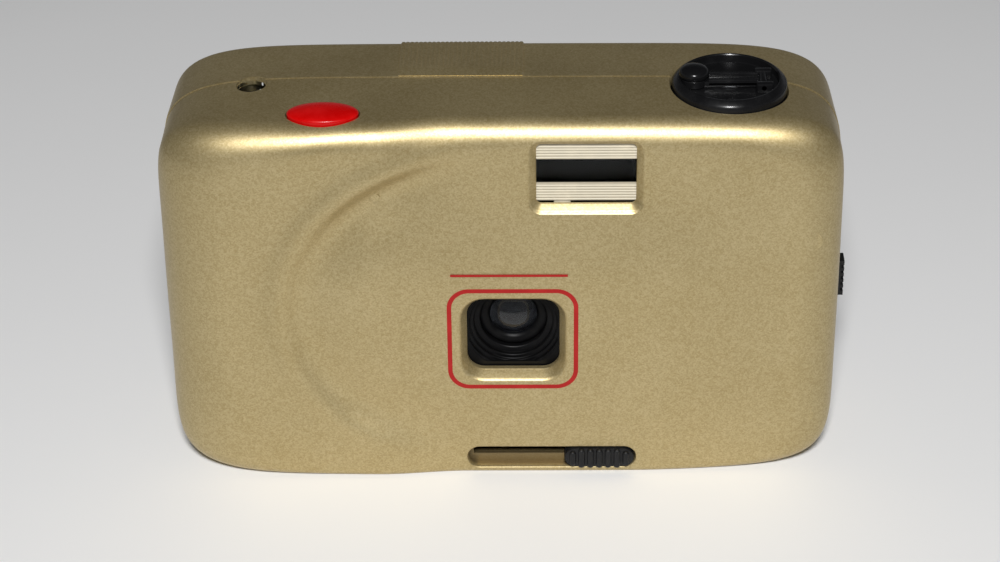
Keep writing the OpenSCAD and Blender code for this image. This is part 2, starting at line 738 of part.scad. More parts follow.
module lens_shroud() {
    steps = 5;
    front = shroud_y + 1.2;
    depth = (ring_y - front) / steps;
    color(black) difference() {
        union() {
            translate([lens_x, 0, opening_z]) upright(shroud_y, front)
                round_rect(opening_w + 3, opening_h + 3, 4);
            y_rod(lens_x, opening_z, shroud_y, ring_y, shroud_r);
        }
        translate([lens_x, 0, opening_z]) upright(shroud_y - 1, front + eps)
            round_rect(opening_w, opening_h, 3);
        for (k = [0:steps - 1])
            y_rod(lens_x, opening_z + (lens_z - opening_z) * (k + 1) / steps, front + k * depth,
                  front + (k + 1) * depth + eps, lens_r + 0.6 + (steps - 1 - k) * 0.55);
    }
}

module lens_barrel() {
    color(black) difference() {
        union() {
            y_rod(lens_x, lens_z, ring_y + 1.2, shutter_y, barrel_r);
            y_rod(lens_x, lens_z, shutter_y - 0.8, shutter_y, barrel_r + 0.8);
        }
        y_rod(lens_x, lens_z, ring_y, shutter_y - 0.6, lens_r);
        y_rod(lens_x, lens_z, ring_y, shutter_y + 1, lens_r - 0.9);
    }
}

module lens_retaining_ring() {
    color(black) y_turned(lens_x, ring_y, lens_z)
        polygon([[lens_r - 0.2, 0.5], [lens_r + 0.4, 0], [barrel_r, 0], [barrel_r, 1.2],
                [lens_r - 0.2, 1.2]]);
}

module front_lens() {
    curve = 9;
    color(clear) intersection() {
        y_rod(lens_x, lens_z, ring_y, shutter_y - 1.1, lens_r - 0.03);
        translate([lens_x, ring_y + 0.4 + curve, lens_z]) sphere(curve);
    }
}

module aperture_plate() {
    color(black) difference() {
        y_rod(lens_x, lens_z, shutter_y - 1, shutter_y - 0.62, lens_r - 0.03);
        y_rod(lens_x, lens_z, shutter_y - 2, shutter_y, aperture_r);
    }
}

module shutter_plate() {
    arm = striker_pivot;
    color(steel) {
        difference() {
            union() {
                block([lens_x - 17.2, shutter_y, lens_z - 12.7],
                      [lens_x + 17.2, shutter_y + shutter_t, lens_z + 12.7]);
                block([arm[0] - 3, shutter_y, lens_z], [arm[0] + 3, shutter_y + shutter_t, arm[1] + 3]);
            }
            y_rod(lens_x, lens_z, shutter_y - 1, shutter_y + 2, aperture_r + 0.9);
            for (p = shutter_bosses) y_rod(p[0], p[1], shutter_y - 1, shutter_y + 2, screw_r + 0.1);
            // Arc for the blade's pin
            for (a = [0:6:blade_open])
                y_rod(pin_at(a)[0], pin_at(a)[1], shutter_y - 1, shutter_y + 2, blade_pin_r + 0.5);
        }
        y_rod(blade_pivot[0], blade_pivot[1], shutter_y + shutter_t, blade_y + blade_t + 0.1, pivot_r);
        y_rod(arm[0], arm[1], striker_y - 1.9, shutter_y, pivot_r);
        y_rod(spring_post[0], spring_post[1], shutter_y - 2, shutter_y, pivot_r);
    }
}

module shutter_blade() {
    color(black) difference() {
        union() {
            y_rod(lens_x, lens_z, blade_y, blade_y + blade_t, blade_r);
            link(blade_pivot, [lens_x, lens_z], 1.5, blade_y, blade_y + blade_t);
            link(blade_pivot, striker_pin, 1.1, blade_y, blade_y + blade_t);
            y_rod(striker_pin[0], striker_pin[1], striker_y, blade_y + eps, blade_pin_r);
        }
        y_rod(blade_pivot[0], blade_pivot[1], blade_y - 1, blade_y + 1, pivot_r + 0.06);
    }
}

// Torsion spring on a pin along Y: a coil from y0 to y1 and its two legs
module torsion_spring(p, y0, y1, a, b) {
    r = pivot_r + 0.55;
    w = 0.2;
    translate([p[0], y0, p[1]]) rotate([-90, 0, 0]) coil(y1 - y0, r, w, 3);
    for (e = [[a, y0 + w], [b, y1 - w]])
        translate([p[0], e[1], p[1]]) rotate([0, e[0], 0]) translate([r, 0, 0]) cylinder(h = 5, r = w);
}

module blade_spring() {
    color(steel) torsion_spring(spring_post, shutter_y - 1.7, shutter_y - 0.2, 60, -40);
}

module striker_spring() {
    color(steel) torsion_spring(striker_pivot, striker_y - 1.7, striker_y - 0.2, 150, -20);
}

module striker_lever() {
    color(steel) difference() {
        union() {
            link(striker_pivot, striker_end, 0.8, striker_y, striker_y + striker_t);
            link(striker_pivot, striker_pivot + [-1.15, 5.2], 0.85, striker_y, striker_y + striker_t);
            y_rod(striker_pivot[0], striker_pivot[1], striker_y, striker_y + striker_t, 1.9);
        }
        y_rod(striker_pivot[0], striker_pivot[1], striker_y - 1, striker_y + 2, pivot_r + 0.06);
    }
}

module release_lever() {
    reach = striker_pivot[0] - 3.6;
    color(steel) difference() {
        union() {
            block([button_x - 1.4, lever_y, lever_z - lever_t], [reach, lever_y + lever_w, lever_z]);
            y_rod(lever_pivot_x, lever_pivot_z, lever_y, lever_y + lever_w, 2);
            // Tab that holds the striker
            block([reach - 0.6, lever_y, striker_pivot[1] + 4.6],
                  [reach + 0.6, striker_y + striker_t, lever_z]);
        }
        y_rod(lever_pivot_x, lever_pivot_z, lever_y - 1, lever_y + lever_w + 1, lever_pin_r + 0.06);
    }
}

module shutter_button() {
    color([0.78, 0.02, 0.05]) {
        translate([button_x, button_y, cap_z]) linear_extrude(body_h + button_out - cap_z)
            ellipse(button_w, button_d);
        block([button_x - button_w / 2 - 1.6, button_y - 1.4, flange_z],
              [button_x + button_w / 2 + 1.6, button_y + 2.4, flange_z + 1.1]);
        z_rod(button_x, button_y, stem_z, cap_z + eps, stem_r);
    }
}

module button_spring() {
    color(steel)
        translate([button_x, button_y, shelf_z]) coil(cap_z - shelf_z, stem_r + 0.5, spring_wire / 2, 5);
}

module viewfinder_housing() {
    front = cam_y;
    back = door_cavity_y - 2.6;
    color(black) translate([finder_x, 0, finder_z]) difference() {
        upright(front, back) round_rect(finder_w + 2 * finder_wall, finder_h + 2 * finder_wall, 1.6);
        upright(front - 1, back - finder_wall) round_rect(finder_w, finder_h, 1);
        upright(back - 2, back + 1) round_rect(eyepiece_w, eyepiece_h, 1);
    }
}

module viewfinder_front_lens() {
    color(clear) translate([finder_x, 0, finder_z]) upright(cam_y + 0.4, cam_y + 0.4 + pane_t)
        round_rect(finder_w - 0.06, finder_h - 0.06, 0.97);
}

module viewfinder_eyepiece() {
    back = door_cavity_y - 2.6;
    color(clear) translate([finder_x, 0, finder_z]) upright(back - finder_wall, back - 0.1)
        round_rect(eyepiece_w - 0.06, eyepiece_h - 0.06, 0.97);
}

module viewfinder_blind_upper() {
    z0 = finder_z + blind_gap / 2;
    color([0.95, 0.92, 0.82]) {
        block([upper_pin[0] - 1.4, blind_y, z0],
              [finder_x + finder_w / 2 + 1.2, blind_y + blind_t, z0 + blind_h]);
        block([upper_pin[0] - 1.4, blind_y, upper_pin[1] - 1.2],
              [upper_pin[0] + 1.4, blind_y + blind_t, z0 + eps]);
        y_rod(upper_pin[0], upper_pin[1], blind_y, cam_y + cam_t + 0.1, pin_d / 2);
    }
}

module viewfinder_blind_lower() {
    z1 = finder_z - blind_gap / 2;
    color([0.95, 0.92, 0.82]) {
        block([finder_x - finder_w / 2 - 1.2, blind_y, z1 - blind_h],
              [finder_x + finder_w / 2 + 1.2, blind_y + blind_t, z1]);
        block([lower_pin[0] - 1.4, blind_y, lower_pin[1] - 1.2],
              [lower_pin[0] + 1.4, blind_y + blind_t, z1 - 1]);
        y_rod(lower_pin[0], lower_pin[1], blind_y, cam_y + cam_t + 0.1, pin_d / 2);
    }
}

// Mask above (dir 1) or below (dir -1) the panorama picture, with its long pin to the cam plate
module film_mask(dir) {
    w = picture_w / 2 + 1.2;
    z0 = lens_z + dir * panorama_h / 2;
    z1 = lens_z + dir * (picture_h / 2 + 1.5);
    pin_z = lens_z + dir * mask_rise;
    color(black) {
        block([lens_x - w, mask_y, min(z0, z1)], [lens_x + w, mask_y + mask_t, max(z0, z1)]);
        block([mask_pin_x - 1.6, mask_y, min(z1 - dir, pin_z + dir * 1.4)],
              [mask_pin_x + 1.6, mask_y + mask_t, max(z1 - dir, pin_z + dir * 1.4)]);
        y_rod(mask_pin_x, pin_z, cam_y - 0.1, mask_y + eps, pin_d / 2);
    }
}

module film_mask_upper() { film_mask(1); }

module film_mask_lower() { film_mask(-1); }

module panorama_slider() {
    ribs = 7;
    y0 = foot_face_y - knob_out;
    floor_y = foot_face_y + pocket_depth;
    h = slot_h - 2 * knob_play;
    pitch = (knob_w - 2) / ribs;
    color(black) {
        difference() {
            translate([knob_x, 0, slot_z]) upright(y0, floor_y - 0.1) round_rect(knob_w, h, h / 2 - eps);
            // Grooves between the ribs
            for (k = [0:ribs]) block([knob_x + (k - ribs / 2) * pitch - 0.3, y0 - 1, slot_z - h],
                                     [knob_x + (k - ribs / 2) * pitch + 0.3, y0 + 0.6, slot_z + h]);
        }
        // Leg through the slit, to the cam plate
        block([knob_x - leg_w, floor_y - 0.1 - eps, slot_z - 0.3], [knob_x + leg_w, cam_y, slot_z + 0.9]);
    }
}

module cam_plate() {
    ways = [[[mask_pin_x, lens_z + mask_rise], mask_travel],
            [[mask_pin_x, lens_z - mask_rise], -mask_travel],
            [upper_pin, blind_travel], [lower_pin, -blind_travel]];
    top_z = lens_z + mask_rise + mask_travel + slot_r + cam_rim;
    low_z = lens_z - mask_rise - mask_travel - slot_r - cam_rim;
    color(steel) difference() {
        union() {
            for (w = ways)
                upright(cam_y, cam_y + cam_t) stadium(w[0], w[0] + [slider_travel, w[1]], slot_r + cam_rim);
            block([spine_x, cam_y, slot_z - 0.5], [spine_x + spine_w, cam_y + cam_t, top_z]);
            block([spine_x, cam_y, slot_z - 0.5], [knob_x + 3.4, cam_y + cam_t, low_z + 1.2]);
            block([spine_x, cam_y, upper_pin[1] - 4.4],
                  [upper_pin[0], cam_y + cam_t, upper_pin[1] - slot_r - 1]);
            block([mask_pin_x, cam_y, upper_pin[1] - 3.4],
                  [lower_pin[0] + 10, cam_y + cam_t, lower_pin[1] + slot_r + 0.15]);
            block([spine_x, cam_y, lens_z - mask_rise - 1.2],
                  [mask_pin_x, cam_y + cam_t, lens_z - mask_rise + 1.2]);
            block([spine_x, cam_y, lens_z + mask_rise - 1.2],
                  [mask_pin_x, cam_y + cam_t, lens_z + mask_rise + 1.2]);
        }
        for (w = ways)
            upright(cam_y - 1, cam_y + cam_t + 1) stadium(w[0], w[0] + [slider_travel, w[1]], slot_r);
    }
}

module frame_counter_dial() {
    teeth = 40;
    color([0.12, 0.13, 0.16]) difference() {
        union() {
            translate([dial_x, dial_y, dial_z]) linear_extrude(dial_t)
                polygon([for (i = [0:2 * teeth - 1]) let (r = dial_r - (i % 2) * 0.35, a = 180 * i / teeth)
                         [r * cos(a), r * sin(a)]]);
            z_rod(dial_x, dial_y, dial_z - 0.6, dial_z + eps, 2.6);
        }
        z_rod(dial_x, dial_y, dial_z - 2, dial_z + 3, dial_pin_r + 0.06);
    }
}

module counter_window() {
    color(clear) z_rod(-counter_left, dial_y, window_z, window_z + pane_t, counter_r - 0.08);
}

module counter_screw() {
    color(steel) {
        z_rod(dial_x, dial_y, dial_z - 1.6, dial_z - 0.7, 2.2);
        z_rod(dial_x, dial_y, dial_z - 0.7 - eps, dial_z + 2.2, screw_r - 0.25);
    }
}

module thumbwheel() {
    teeth = 60;
    color(black) translate([spool_x, spool_y, wheel_z]) difference() {
        linear_extrude(wheel_t)
            polygon([for (i = [0:2 * teeth - 1]) let (r = wheel_r - (i % 2) * 0.4, a = 180 * i / teeth)
                     [r * cos(a), r * sin(a)]]);
        translate([0, 0, -1]) cylinder(h = wheel_t + 2, r = shaft_r + 0.02);
        translate([0, 0, wheel_t - 1.2]) cylinder(h = 2, r = wheel_r - 3);
    }
}

module take_up_spool() {
    z0 = floor_z + chamber_wall + 0.3;
    color(black) difference() {
        union() {
            z_rod(spool_x, spool_y, z0, roof_z - 0.3, spool_r);
            z_rod(spool_x, spool_y, floor_z, wheel_z + wheel_t - 1.2, shaft_r);
            for (z = [z0, roof_z - 1.3]) z_rod(spool_x, spool_y, z, z + 1, spool_r + 1.6);
        }
        // Slits that take the film's tongue
        for (a = [0, 120, 240]) translate([spool_x, spool_y, lens_z]) rotate([0, 0, a])
            block([shaft_r + 1.2, -0.6, -17], [spool_r + 1, 0.6, 17]);
    }
}

module film_sprocket() {
    color(black) {
        z_rod(sprocket_x, sprocket_y, floor_z + chamber_wall + 0.3, roof_z - 0.3, sprocket_hub_r);
        z_rod(sprocket_x, sprocket_y, floor_z, dial_z + dial_t, sprocket_shaft_r);
        for (i = [-1, 1]) {
            z0 = lens_z + i * tooth_z - tooth_w / 2;
            z_rod(sprocket_x, sprocket_y, z0, z0 + tooth_w, sprocket_r);
            for (k = [0:sprocket_teeth - 1]) translate([sprocket_x, sprocket_y, z0])
                rotate([0, 0, 360 * (k + 0.5) / sprocket_teeth])
                    block([sprocket_r - 1, -0.6, 0.3], [sprocket_r + tooth_h, 0.6, tooth_w - 0.3]);
        }
        // Finger that steps the dial
        translate([sprocket_x, sprocket_y, dial_z]) rotate([0, 0, 60])
            block([0, -0.5, 0],
                  [norm([sprocket_x - dial_x, sprocket_y - dial_y]) - dial_r - 0.3, 0.5, dial_t]);
    }
}

module ratchet_pawl() {
    tip_a = -13;
    tip = [spool_x, spool_y] + (wheel_r + 0.7) * [cos(tip_a), sin(tip_a)];
    z0 = wheel_z + 1;
    d = tip - pawl_pivot;
    color(steel) {
        z_rod(pawl_pivot[0], pawl_pivot[1], roof_z, z0 + 1.8, 0.74);
        z_rod(pawl_pivot[0], pawl_pivot[1], z0, z0 + 1.4, 1.6);
        z_rod(tip[0], tip[1], z0, z0 + 1.4, 0.4);
        translate([pawl_pivot[0], pawl_pivot[1], z0]) rotate([0, 0, atan2(d[1], d[0])])
            block([0, link_step - 0.4, 0], [norm(d), 0.4 - link_step, 1.4]);
    }
}

module rewind_disc() {
    top = body_h + crank_out;
    color(black) difference() {
        union() {
            translate([cassette_x, cassette_y, 0]) rotate_extrude()
                polygon([[shaft_r + 0.02, crank_z], [crank_r, crank_z],
                         [crank_r, top - 1], [crank_r - 0.9, top],
                         [crank_rim, top], [crank_rim, handle_z - 0.1], [shaft_r + 0.02, handle_z - 0.1]]);
            // Ears that hold the handle's pin
            for (i = [-1, 1])
                translate([handle_pivot, cassette_y + i * (handle_w / 2 + 0.25 + 0.7), handle_z - 0.5])
                    block([-1, -0.7, 0], [1, 0.7, handle_t + 0.4]);
        }
        y_rod(handle_pivot, handle_z + handle_t / 2, cassette_y - 4, cassette_y + 4, crank_pin_r + 0.01);
    }
}

module rewind_fork() {
    color(steel) {
        z_rod(cassette_x, cassette_y, roof_z - 3.2, handle_z - 0.1, shaft_r);
        block([cassette_x - 2.8, cassette_y - 0.6, roof_z - 6],
              [cassette_x + 2.8, cassette_y + 0.6, roof_z - 3]);
    }
}

module crank_handle() {
    knob = cassette_x - knob_arm;
    z1 = handle_z + handle_t;
    color(black) difference() {
        union() {
            z_rod(knob, cassette_y, handle_z, z1, crank_knob_r);
            block([knob, cassette_y - handle_w / 2, handle_z],
                  [handle_pivot, cassette_y + handle_w / 2, z1]);
            y_rod(handle_pivot, handle_z + handle_t / 2, cassette_y - handle_w / 2,
                  cassette_y + handle_w / 2, handle_t / 2);
        }
        // Groove along the handle
        block([knob + 2.6, cassette_y - 0.6, z1 - 0.4], [handle_pivot - 1, cassette_y + 0.6, z1 + 1]);
        y_rod(handle_pivot, handle_z + handle_t / 2, cassette_y - 9, cassette_y + 9, crank_pin_r + 0.05);
    }
}

module crank_knob() {
    color(black) translate([cassette_x - knob_arm, cassette_y, handle_z + handle_t]) rotate_extrude()
        polygon([[0, 0], [crank_knob_r, 0], [crank_knob_r, 1.1], for (a = [15:15:90])
                 [crank_knob_r * cos(a), 1.1 + 0.8 * sin(a)]]);
}

module crank_pin() {
    reach = handle_w / 2 + 0.25 + 1.4;
    color(steel)
        y_rod(handle_pivot, handle_z + handle_t / 2, cassette_y - reach, cassette_y + reach, crank_pin_r);
}

module door_hinge_pin() {
    color(steel) z_rod(hinge_x, seam_y, hinge_z + 0.1, hinge_z + hinge_l - 0.1, hinge_pin_r);
}

module pressure_plate() {
    color(black) block([lens_x - plate_w / 2, plate_y, lens_z - plate_h / 2],
                       [lens_x + plate_w / 2, plate_y + 0.8, lens_z + plate_h / 2]);
}

module pressure_spring() {
    y0 = plate_y + 0.85;
    rise = door_cavity_y - y0 - 0.35;
    path = [for (i = [-14:14]) [i, y0 + rise * pow(cos(i * 90 / 14), 2)]];
    color(steel) difference() {
        translate([lens_x, 0, lens_z - 3]) linear_extrude(6)
            polygon(concat(path, [for (i = [28:-1:0]) path[i] + [0, 0.3]]));
        for (i = [-1, 1]) y_rod(lens_x + i * 12, lens_z, plate_y, back_y, 1.5);
    }
}

module door_latch() {
    low = latch_z - latch_h / 2;
    high = latch_z + latch_h / 2;
    ribs = 5;
    color(black) {
        difference() {
            block([hook_x + hook_t - eps, latch_y - 1.4, low],
                  [body_w / 2 + latch_out, latch_y + 1.4, high]);
            for (k = [1:ribs]) {
                z = low + k * latch_h / (ribs + 1);
                block([body_w / 2 + latch_out - 0.5, latch_y - 2, z - 0.3], [body_w, latch_y + 2, z + 0.3]);
            }
        }
        block([hook_x, latch_y - 2.2, low - 1], [hook_x + hook_t, latch_y + 2.2, high + 1]);
        // Hook that reaches past the catch
        block([hook_x, catch_y - 1.6, hook_z], [hook_x + hook_t, latch_y, hook_z + 2]);
        block([hook_x, catch_y - 1.6, hook_z - lip_h], [hook_x + hook_t, catch_y - 0.3, hook_z + eps]);
    }
}

module latch_spring() {
    x1 = body_w / 2 - wall - 0.05;
    y0 = latch_y + 2.5;
    color(steel) translate([0, 0, latch_z - 3]) linear_extrude(6)
        polygon([[x1, y0 + 5], [x1, y0 + 2], [x1 - 1.4, y0 + 0.6], [x1 - 0.6, y0], [x1 - 0.9, y0],
                 [x1 - 1.9, y0 + 0.6], [x1 - 0.3, y0 + 2.2], [x1 - 0.3, y0 + 5]]);
}

module film_window() {
    y0 = door_cavity_y + 0.1;
    color(clear) translate([cassette_x, 0, lens_z]) upright(y0, y0 + pane_t)
        round_rect(film_window_w - 0.1, film_window_h - 0.1, 1.45);
}

module rewind_release_button() {
    color(black) {
        z_rod(sprocket_x, rewind_button_y, 0.3, wall + 0.2, 2);
        z_rod(sprocket_x, rewind_button_y, wall + 0.1, wall + 1, 3);
        z_rod(sprocket_x, rewind_button_y, wall + 0.9, wall + 3.2, 0.9);
    }
}

module release_button_spring() {
    color(steel) translate([sprocket_x, rewind_button_y, wall + 1]) coil(arm_z - wall - 1, 1.6, 0.2, 4);
}

module chassis_screws() {
    color(steel) for (p = posts) {
        y_rod(p[0], p[1], lug_y, lug_y + 1.2, screw_head_r);
        y_rod(p[0], p[1], post_y - 3.5, lug_y + eps, screw_r - 0.02);
    }
}

module shutter_screws() {
    color(steel) for (p = shutter_bosses) {
        y_rod(p[0], p[1], shutter_y - 0.9, shutter_y, screw_head_r);
        y_rod(p[0], p[1], shutter_y - eps, box_front_y + 0.3, screw_r - 0.02);
    }
}

front_cover();
back_door();
chassis();
lens_shroud();
lens_barrel();
lens_retaining_ring();
front_lens();
aperture_plate();
shutter_plate();
shutter_blade();
blade_spring();
striker_lever();
striker_spring();
release_lever();
shutter_button();
button_spring();
viewfinder_housing();
viewfinder_front_lens();
viewfinder_eyepiece();
viewfinder_blind_upper();
viewfinder_blind_lower();
film_mask_upper();
film_mask_lower();
panorama_slider();
cam_plate();
frame_counter_dial();
counter_window();
thumbwheel();
take_up_spool();
film_sprocket();
ratchet_pawl();
rewind_disc();
rewind_fork();
crank_handle();
crank_knob();
crank_pin();
door_hinge_pin();
pressure_plate();
pressure_spring();
door_latch();
latch_spring();
film_window();
rewind_release_button();
release_button_spring();
counter_screw();
chassis_screws();
shutter_screws();
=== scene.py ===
"""Add-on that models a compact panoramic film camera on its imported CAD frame, in metres."""
import math
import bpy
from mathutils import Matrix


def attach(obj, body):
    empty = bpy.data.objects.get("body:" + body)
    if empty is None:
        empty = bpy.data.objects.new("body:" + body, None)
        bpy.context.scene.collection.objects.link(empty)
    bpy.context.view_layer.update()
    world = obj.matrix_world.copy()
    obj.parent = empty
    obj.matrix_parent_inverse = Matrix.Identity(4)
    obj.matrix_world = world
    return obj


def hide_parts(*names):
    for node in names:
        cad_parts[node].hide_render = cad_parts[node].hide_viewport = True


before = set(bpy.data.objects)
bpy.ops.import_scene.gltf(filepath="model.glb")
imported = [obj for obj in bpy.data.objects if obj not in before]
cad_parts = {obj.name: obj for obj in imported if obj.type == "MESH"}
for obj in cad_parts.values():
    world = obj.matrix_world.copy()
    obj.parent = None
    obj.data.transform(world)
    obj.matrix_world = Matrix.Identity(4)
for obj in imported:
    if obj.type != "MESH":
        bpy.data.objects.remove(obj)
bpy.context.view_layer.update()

from types import SimpleNamespace

import bmesh
import bpy
import numpy as np
from bpy.props import FloatProperty, FloatVectorProperty, PointerProperty
from mathutils import Matrix, Vector

bl_info = {
    "name": "Panoramic film camera",
    "version": (1, 0, 0),
    "blender": (4, 5, 0),
    "location": "3D View > Sidebar > Camera",
    "description": "Models, paints and lights a compact film camera on its CAD frame",
    "category": "Object",
}

# One millimetre in metres, and how far cutters reach past the camera, in millimetres
MM = 0.001
FAR = 80


def length(label, about, value):
    """Length property with its default in millimetres."""
    return FloatProperty(name=label, description=about, default=value * MM, min=0, precision=5,
                         unit="LENGTH", subtype="DISTANCE")


def colour(label, about, value):
    """Colour property with a linear default."""
    return FloatVectorProperty(name=label, description=about, default=value, min=0, max=1, size=3,
                               subtype="COLOR")


class PANO_PG_sizes(bpy.types.PropertyGroup):
    """Sizes of the camera, most of them as in its CAD source"""

    body_w: length("Width", "Width of the body", 117)
    body_h: length("Height", "Height of the body", 69.4)
    grip_depth: length("Grip depth", "Depth of the front at the grip, from the seam", 18.7)
    lens_depth: length("Lens depth", "Depth of the front at the lens, from the seam", 18.2)
    top_depth: length("Top depth", "Depth of the front around the viewfinder", 16.5)
    foot_depth: length("Foot depth", "Depth of the front at its lower edge", 17.5)
    door_depth: length("Door depth", "Depth of the back door, from the seam", 15.4)
    wall: length("Wall", "Wall of the covers", 1.8)
    lens_x: length("Lens right", "Lens axis, right of the middle", 2)
    lens_z: length("Lens height", "Height of the lens axis", 28.9)
    opening_w: length("Opening width", "Width of the lens opening at its inner edge", 15.9)
    opening_h: length("Opening height", "Height of the lens opening at its inner edge", 14.2)
    opening_slope: length("Opening slope", "Width of the slope around the lens opening", 1.05)
    finder_x: length("Finder right", "Viewfinder axis, right of the middle", 14.4)
    finder_z: length("Finder height", "Height of the viewfinder axis", 59.2)
    finder_w: length("Finder width", "Width of the viewfinder window", 16.7)
    finder_h: length("Finder opening", "Height of the viewfinder window", 11.1)
    finder_slope: length("Finder slope", "Width of the slope around the viewfinder window", 0.95)
    slot_w: length("Slot length", "Length of the switch's slot", 29.3)
    slot_h: length("Slot width", "Width of the switch's slot", 4.1)
    slot_x: length("Slot right", "Middle of the slot, right of the body's middle", 8.55)
    slot_z: length("Slot height", "Middle of the slot above the base", 3.25)
    knob_w: length("Knob length", "Length of the switch's knob", 12.3)
    button_w: length("Button length", "Length of the oval shutter button", 12)
    button_d: length("Button depth", "Depth of the oval shutter button", 7.1)
    button_left: length("Button left", "Shutter button, left of the middle", 29.3)
    button_fore: length("Button fore", "Shutter button, in front of the seam", 12.9)
    counter_left: length("Counter left", "Counter's hole, left of the middle", 42)
    crank_r: length("Crank radius", "Radius of the rewind crank's disc", 9.7)
    frame_line: length("Frame line", "Width of the red line around the lens", 0.78)


class PANO_PG_look(bpy.types.PropertyGroup):
    """Colours and light of the camera"""

    gold_deep: colour("Gold, deep", "Deeper tone of the gold paint", (0.34, 0.25, 0.095))
    gold_pale: colour("Gold, pale", "Paler tone of the gold paint's flakes", (0.58, 0.48, 0.27))
    black: colour("Black", "Black plastic", (0.006, 0.006, 0.0065))
    red: colour("Red", "Red button", (0.50, 0.0015, 0.0015))
    print_red: colour("Red print", "Printed red lines", (0.33, 0.006, 0.005))
    cream: colour("Cream", "Blinds of the viewfinder", (0.50, 0.45, 0.34))
    steel: colour("Steel", "Steel pieces", (0.55, 0.56, 0.58))
    floor: colour("Floor", "White floor", (0.86, 0.86, 0.86))
    lamp: FloatProperty(name="Lamp", description="Power of the lamp over the camera, in watts",
                        default=39.5, min=0)
    sky: FloatProperty(name="Sky", description="Strength of the surroundings", default=0.3, min=0)


def millimetres(context):
    """The sizes in millimetres, with the places that follow from them."""
    group = context.scene.pano_sizes
    s = SimpleNamespace(**{name: round(getattr(group, name) / MM, 4)
                           for name in PANO_PG_sizes.__annotations__})
    # Planes across the body
    s.front_wall = 1.2
    s.seam_y = (s.grip_depth - s.door_depth) / 2
    s.back_y = s.seam_y + s.door_depth
    s.cavity_y = s.seam_y - s.top_depth + s.front_wall
    s.lens_face_y = s.seam_y - s.lens_depth
    s.foot_face_y = s.seam_y - s.foot_depth
    s.post_y = s.seam_y - 11
    # Rounds of the covers, those of the front each as its width and its depth
    s.left_round = (11.8, 9.8)
    s.right_round = (7.6, 6.3)
    s.top_round = (4.5, 4.0)
    s.bottom_round = (1.4, 1.4)
    s.door_round = 3.0
    # Outline of the covers
    s.draft = 0.6
    s.base_flat = 0.35
    s.mid_z = (s.body_h - s.base_flat) / 2
    s.half_h = (s.body_h + s.base_flat) / 2
    s.squareness = 7.5
    s.front_squareness = 9.5
    s.side_bow = 0.002
    s.front_inset = (5.6, 2.4)
    # Crescent that bounds the grip, and the span over which the grip fades into the front
    s.crescent_mid = (-5, s.mid_z - 1.5)
    s.crescent_half = (33, 30.5)
    s.crescent_span = 31.5
    s.crescent_w = 6
    s.grip_end = (-22, -6)
    # Lens, film and blinds
    s.opening_z = s.lens_z - 0.8
    s.ring_y = s.lens_face_y + 6.8
    s.cassette_x = s.body_w / 2 - 19.9
    s.cassette_y = s.seam_y - 2.4
    s.spool_x = 17.5 - s.body_w / 2
    s.spool_y = s.seam_y + 2.3
    s.sprocket_x = s.spool_x + 17.3
    s.wheel_z = s.lens_z + 25.8
    s.blind_y = s.cavity_y + 0.4
    s.cam_y = s.blind_y + 1.2
    # Controls
    s.pocket_y = s.foot_face_y + 1.8
    s.knob_play = 0.15
    s.knob_x = s.slot_x + s.slot_w / 2 - s.knob_play - s.knob_w / 2
    s.button_x = -s.button_left
    s.button_y = s.seam_y - s.button_fore + 0.75
    s.stem_z = 55.7
    s.cap_z = 63.1
    s.flange_z = 64.9
    s.counter_r = 2.6
    s.counter_y = s.seam_y - 1.3
    s.dial_x = 6.7 - s.counter_left
    s.dial_z = 64.2
    s.recess_r = 10
    s.handle_z = s.body_h - 0.3
    # Hinge
    s.hinge_z = 12.5
    s.hinge_l = 43.5
    s.knuckles = 7
    s.knuckle_r = 1.4
    s.hinge_x = s.knuckle_r + 0.5 - s.body_w / 2
    s.hinge_relief = s.knuckle_r + 0.7
    return s


# Shader nodes


class Wire:
    """A shader socket that takes part in sums."""

    def __init__(self, nodes, socket):
        self.nodes = nodes
        self.socket = socket

    def _math(self, operation, first, second):
        return self.nodes.node("ShaderNodeMath", {"operation": operation}, {0: first, 1: second})

    def __add__(self, other):
        return self._math("ADD", self, other)

    def __radd__(self, other):
        return self._math("ADD", other, self)

    def __sub__(self, other):
        return self._math("SUBTRACT", self, other)

    def __rsub__(self, other):
        return self._math("SUBTRACT", other, self)

    def __mul__(self, other):
        return self._math("MULTIPLY", self, other)

    def __rmul__(self, other):
        return self._math("MULTIPLY", other, self)


class Nodes:
    """A node tree that ends in one base shader."""

    def __init__(self, tree, base):
        self.tree = tree
        self.base = tree.nodes[base]

    def node(self, kind, settings=None, inputs=None, output=0):
        """New node of a kind: settings first, then its sockets' values or links."""
        made = self.tree.nodes.new(kind)
        for key, value in (settings or {}).items():
            setattr(made, key, value)
        for key, value in (inputs or {}).items():
            if isinstance(value, Wire):
                self.tree.links.new(value.socket, made.inputs[key])
            else:
                made.inputs[key].default_value = value
        return Wire(self, made.outputs[output])

    def band(self, value, low, high, to_low=0.0, to_high=1.0):
        """Value between low and high, spread smoothly over the other range."""
        return self.node("ShaderNodeMapRange", {"interpolation_type": "SMOOTHSTEP"},
                         {"Value": value, "From Min": low, "From Max": high, "To Min": to_low,
                          "To Max": to_high})

    def mix(self, share, first, second):
        """Mix of two colours."""
        first, second = (c if isinstance(c, Wire) else tuple(c) + (1.0,) for c in (first, second))
        return self.node("ShaderNodeMix", {"data_type": "RGBA"}, {0: share, 6: first, 7: second},
                         output=2)

    def link(self, wire, socket):
        """Links a wire to a socket of the base shader."""
        self.tree.links.new(wire.socket, self.base.inputs[socket])


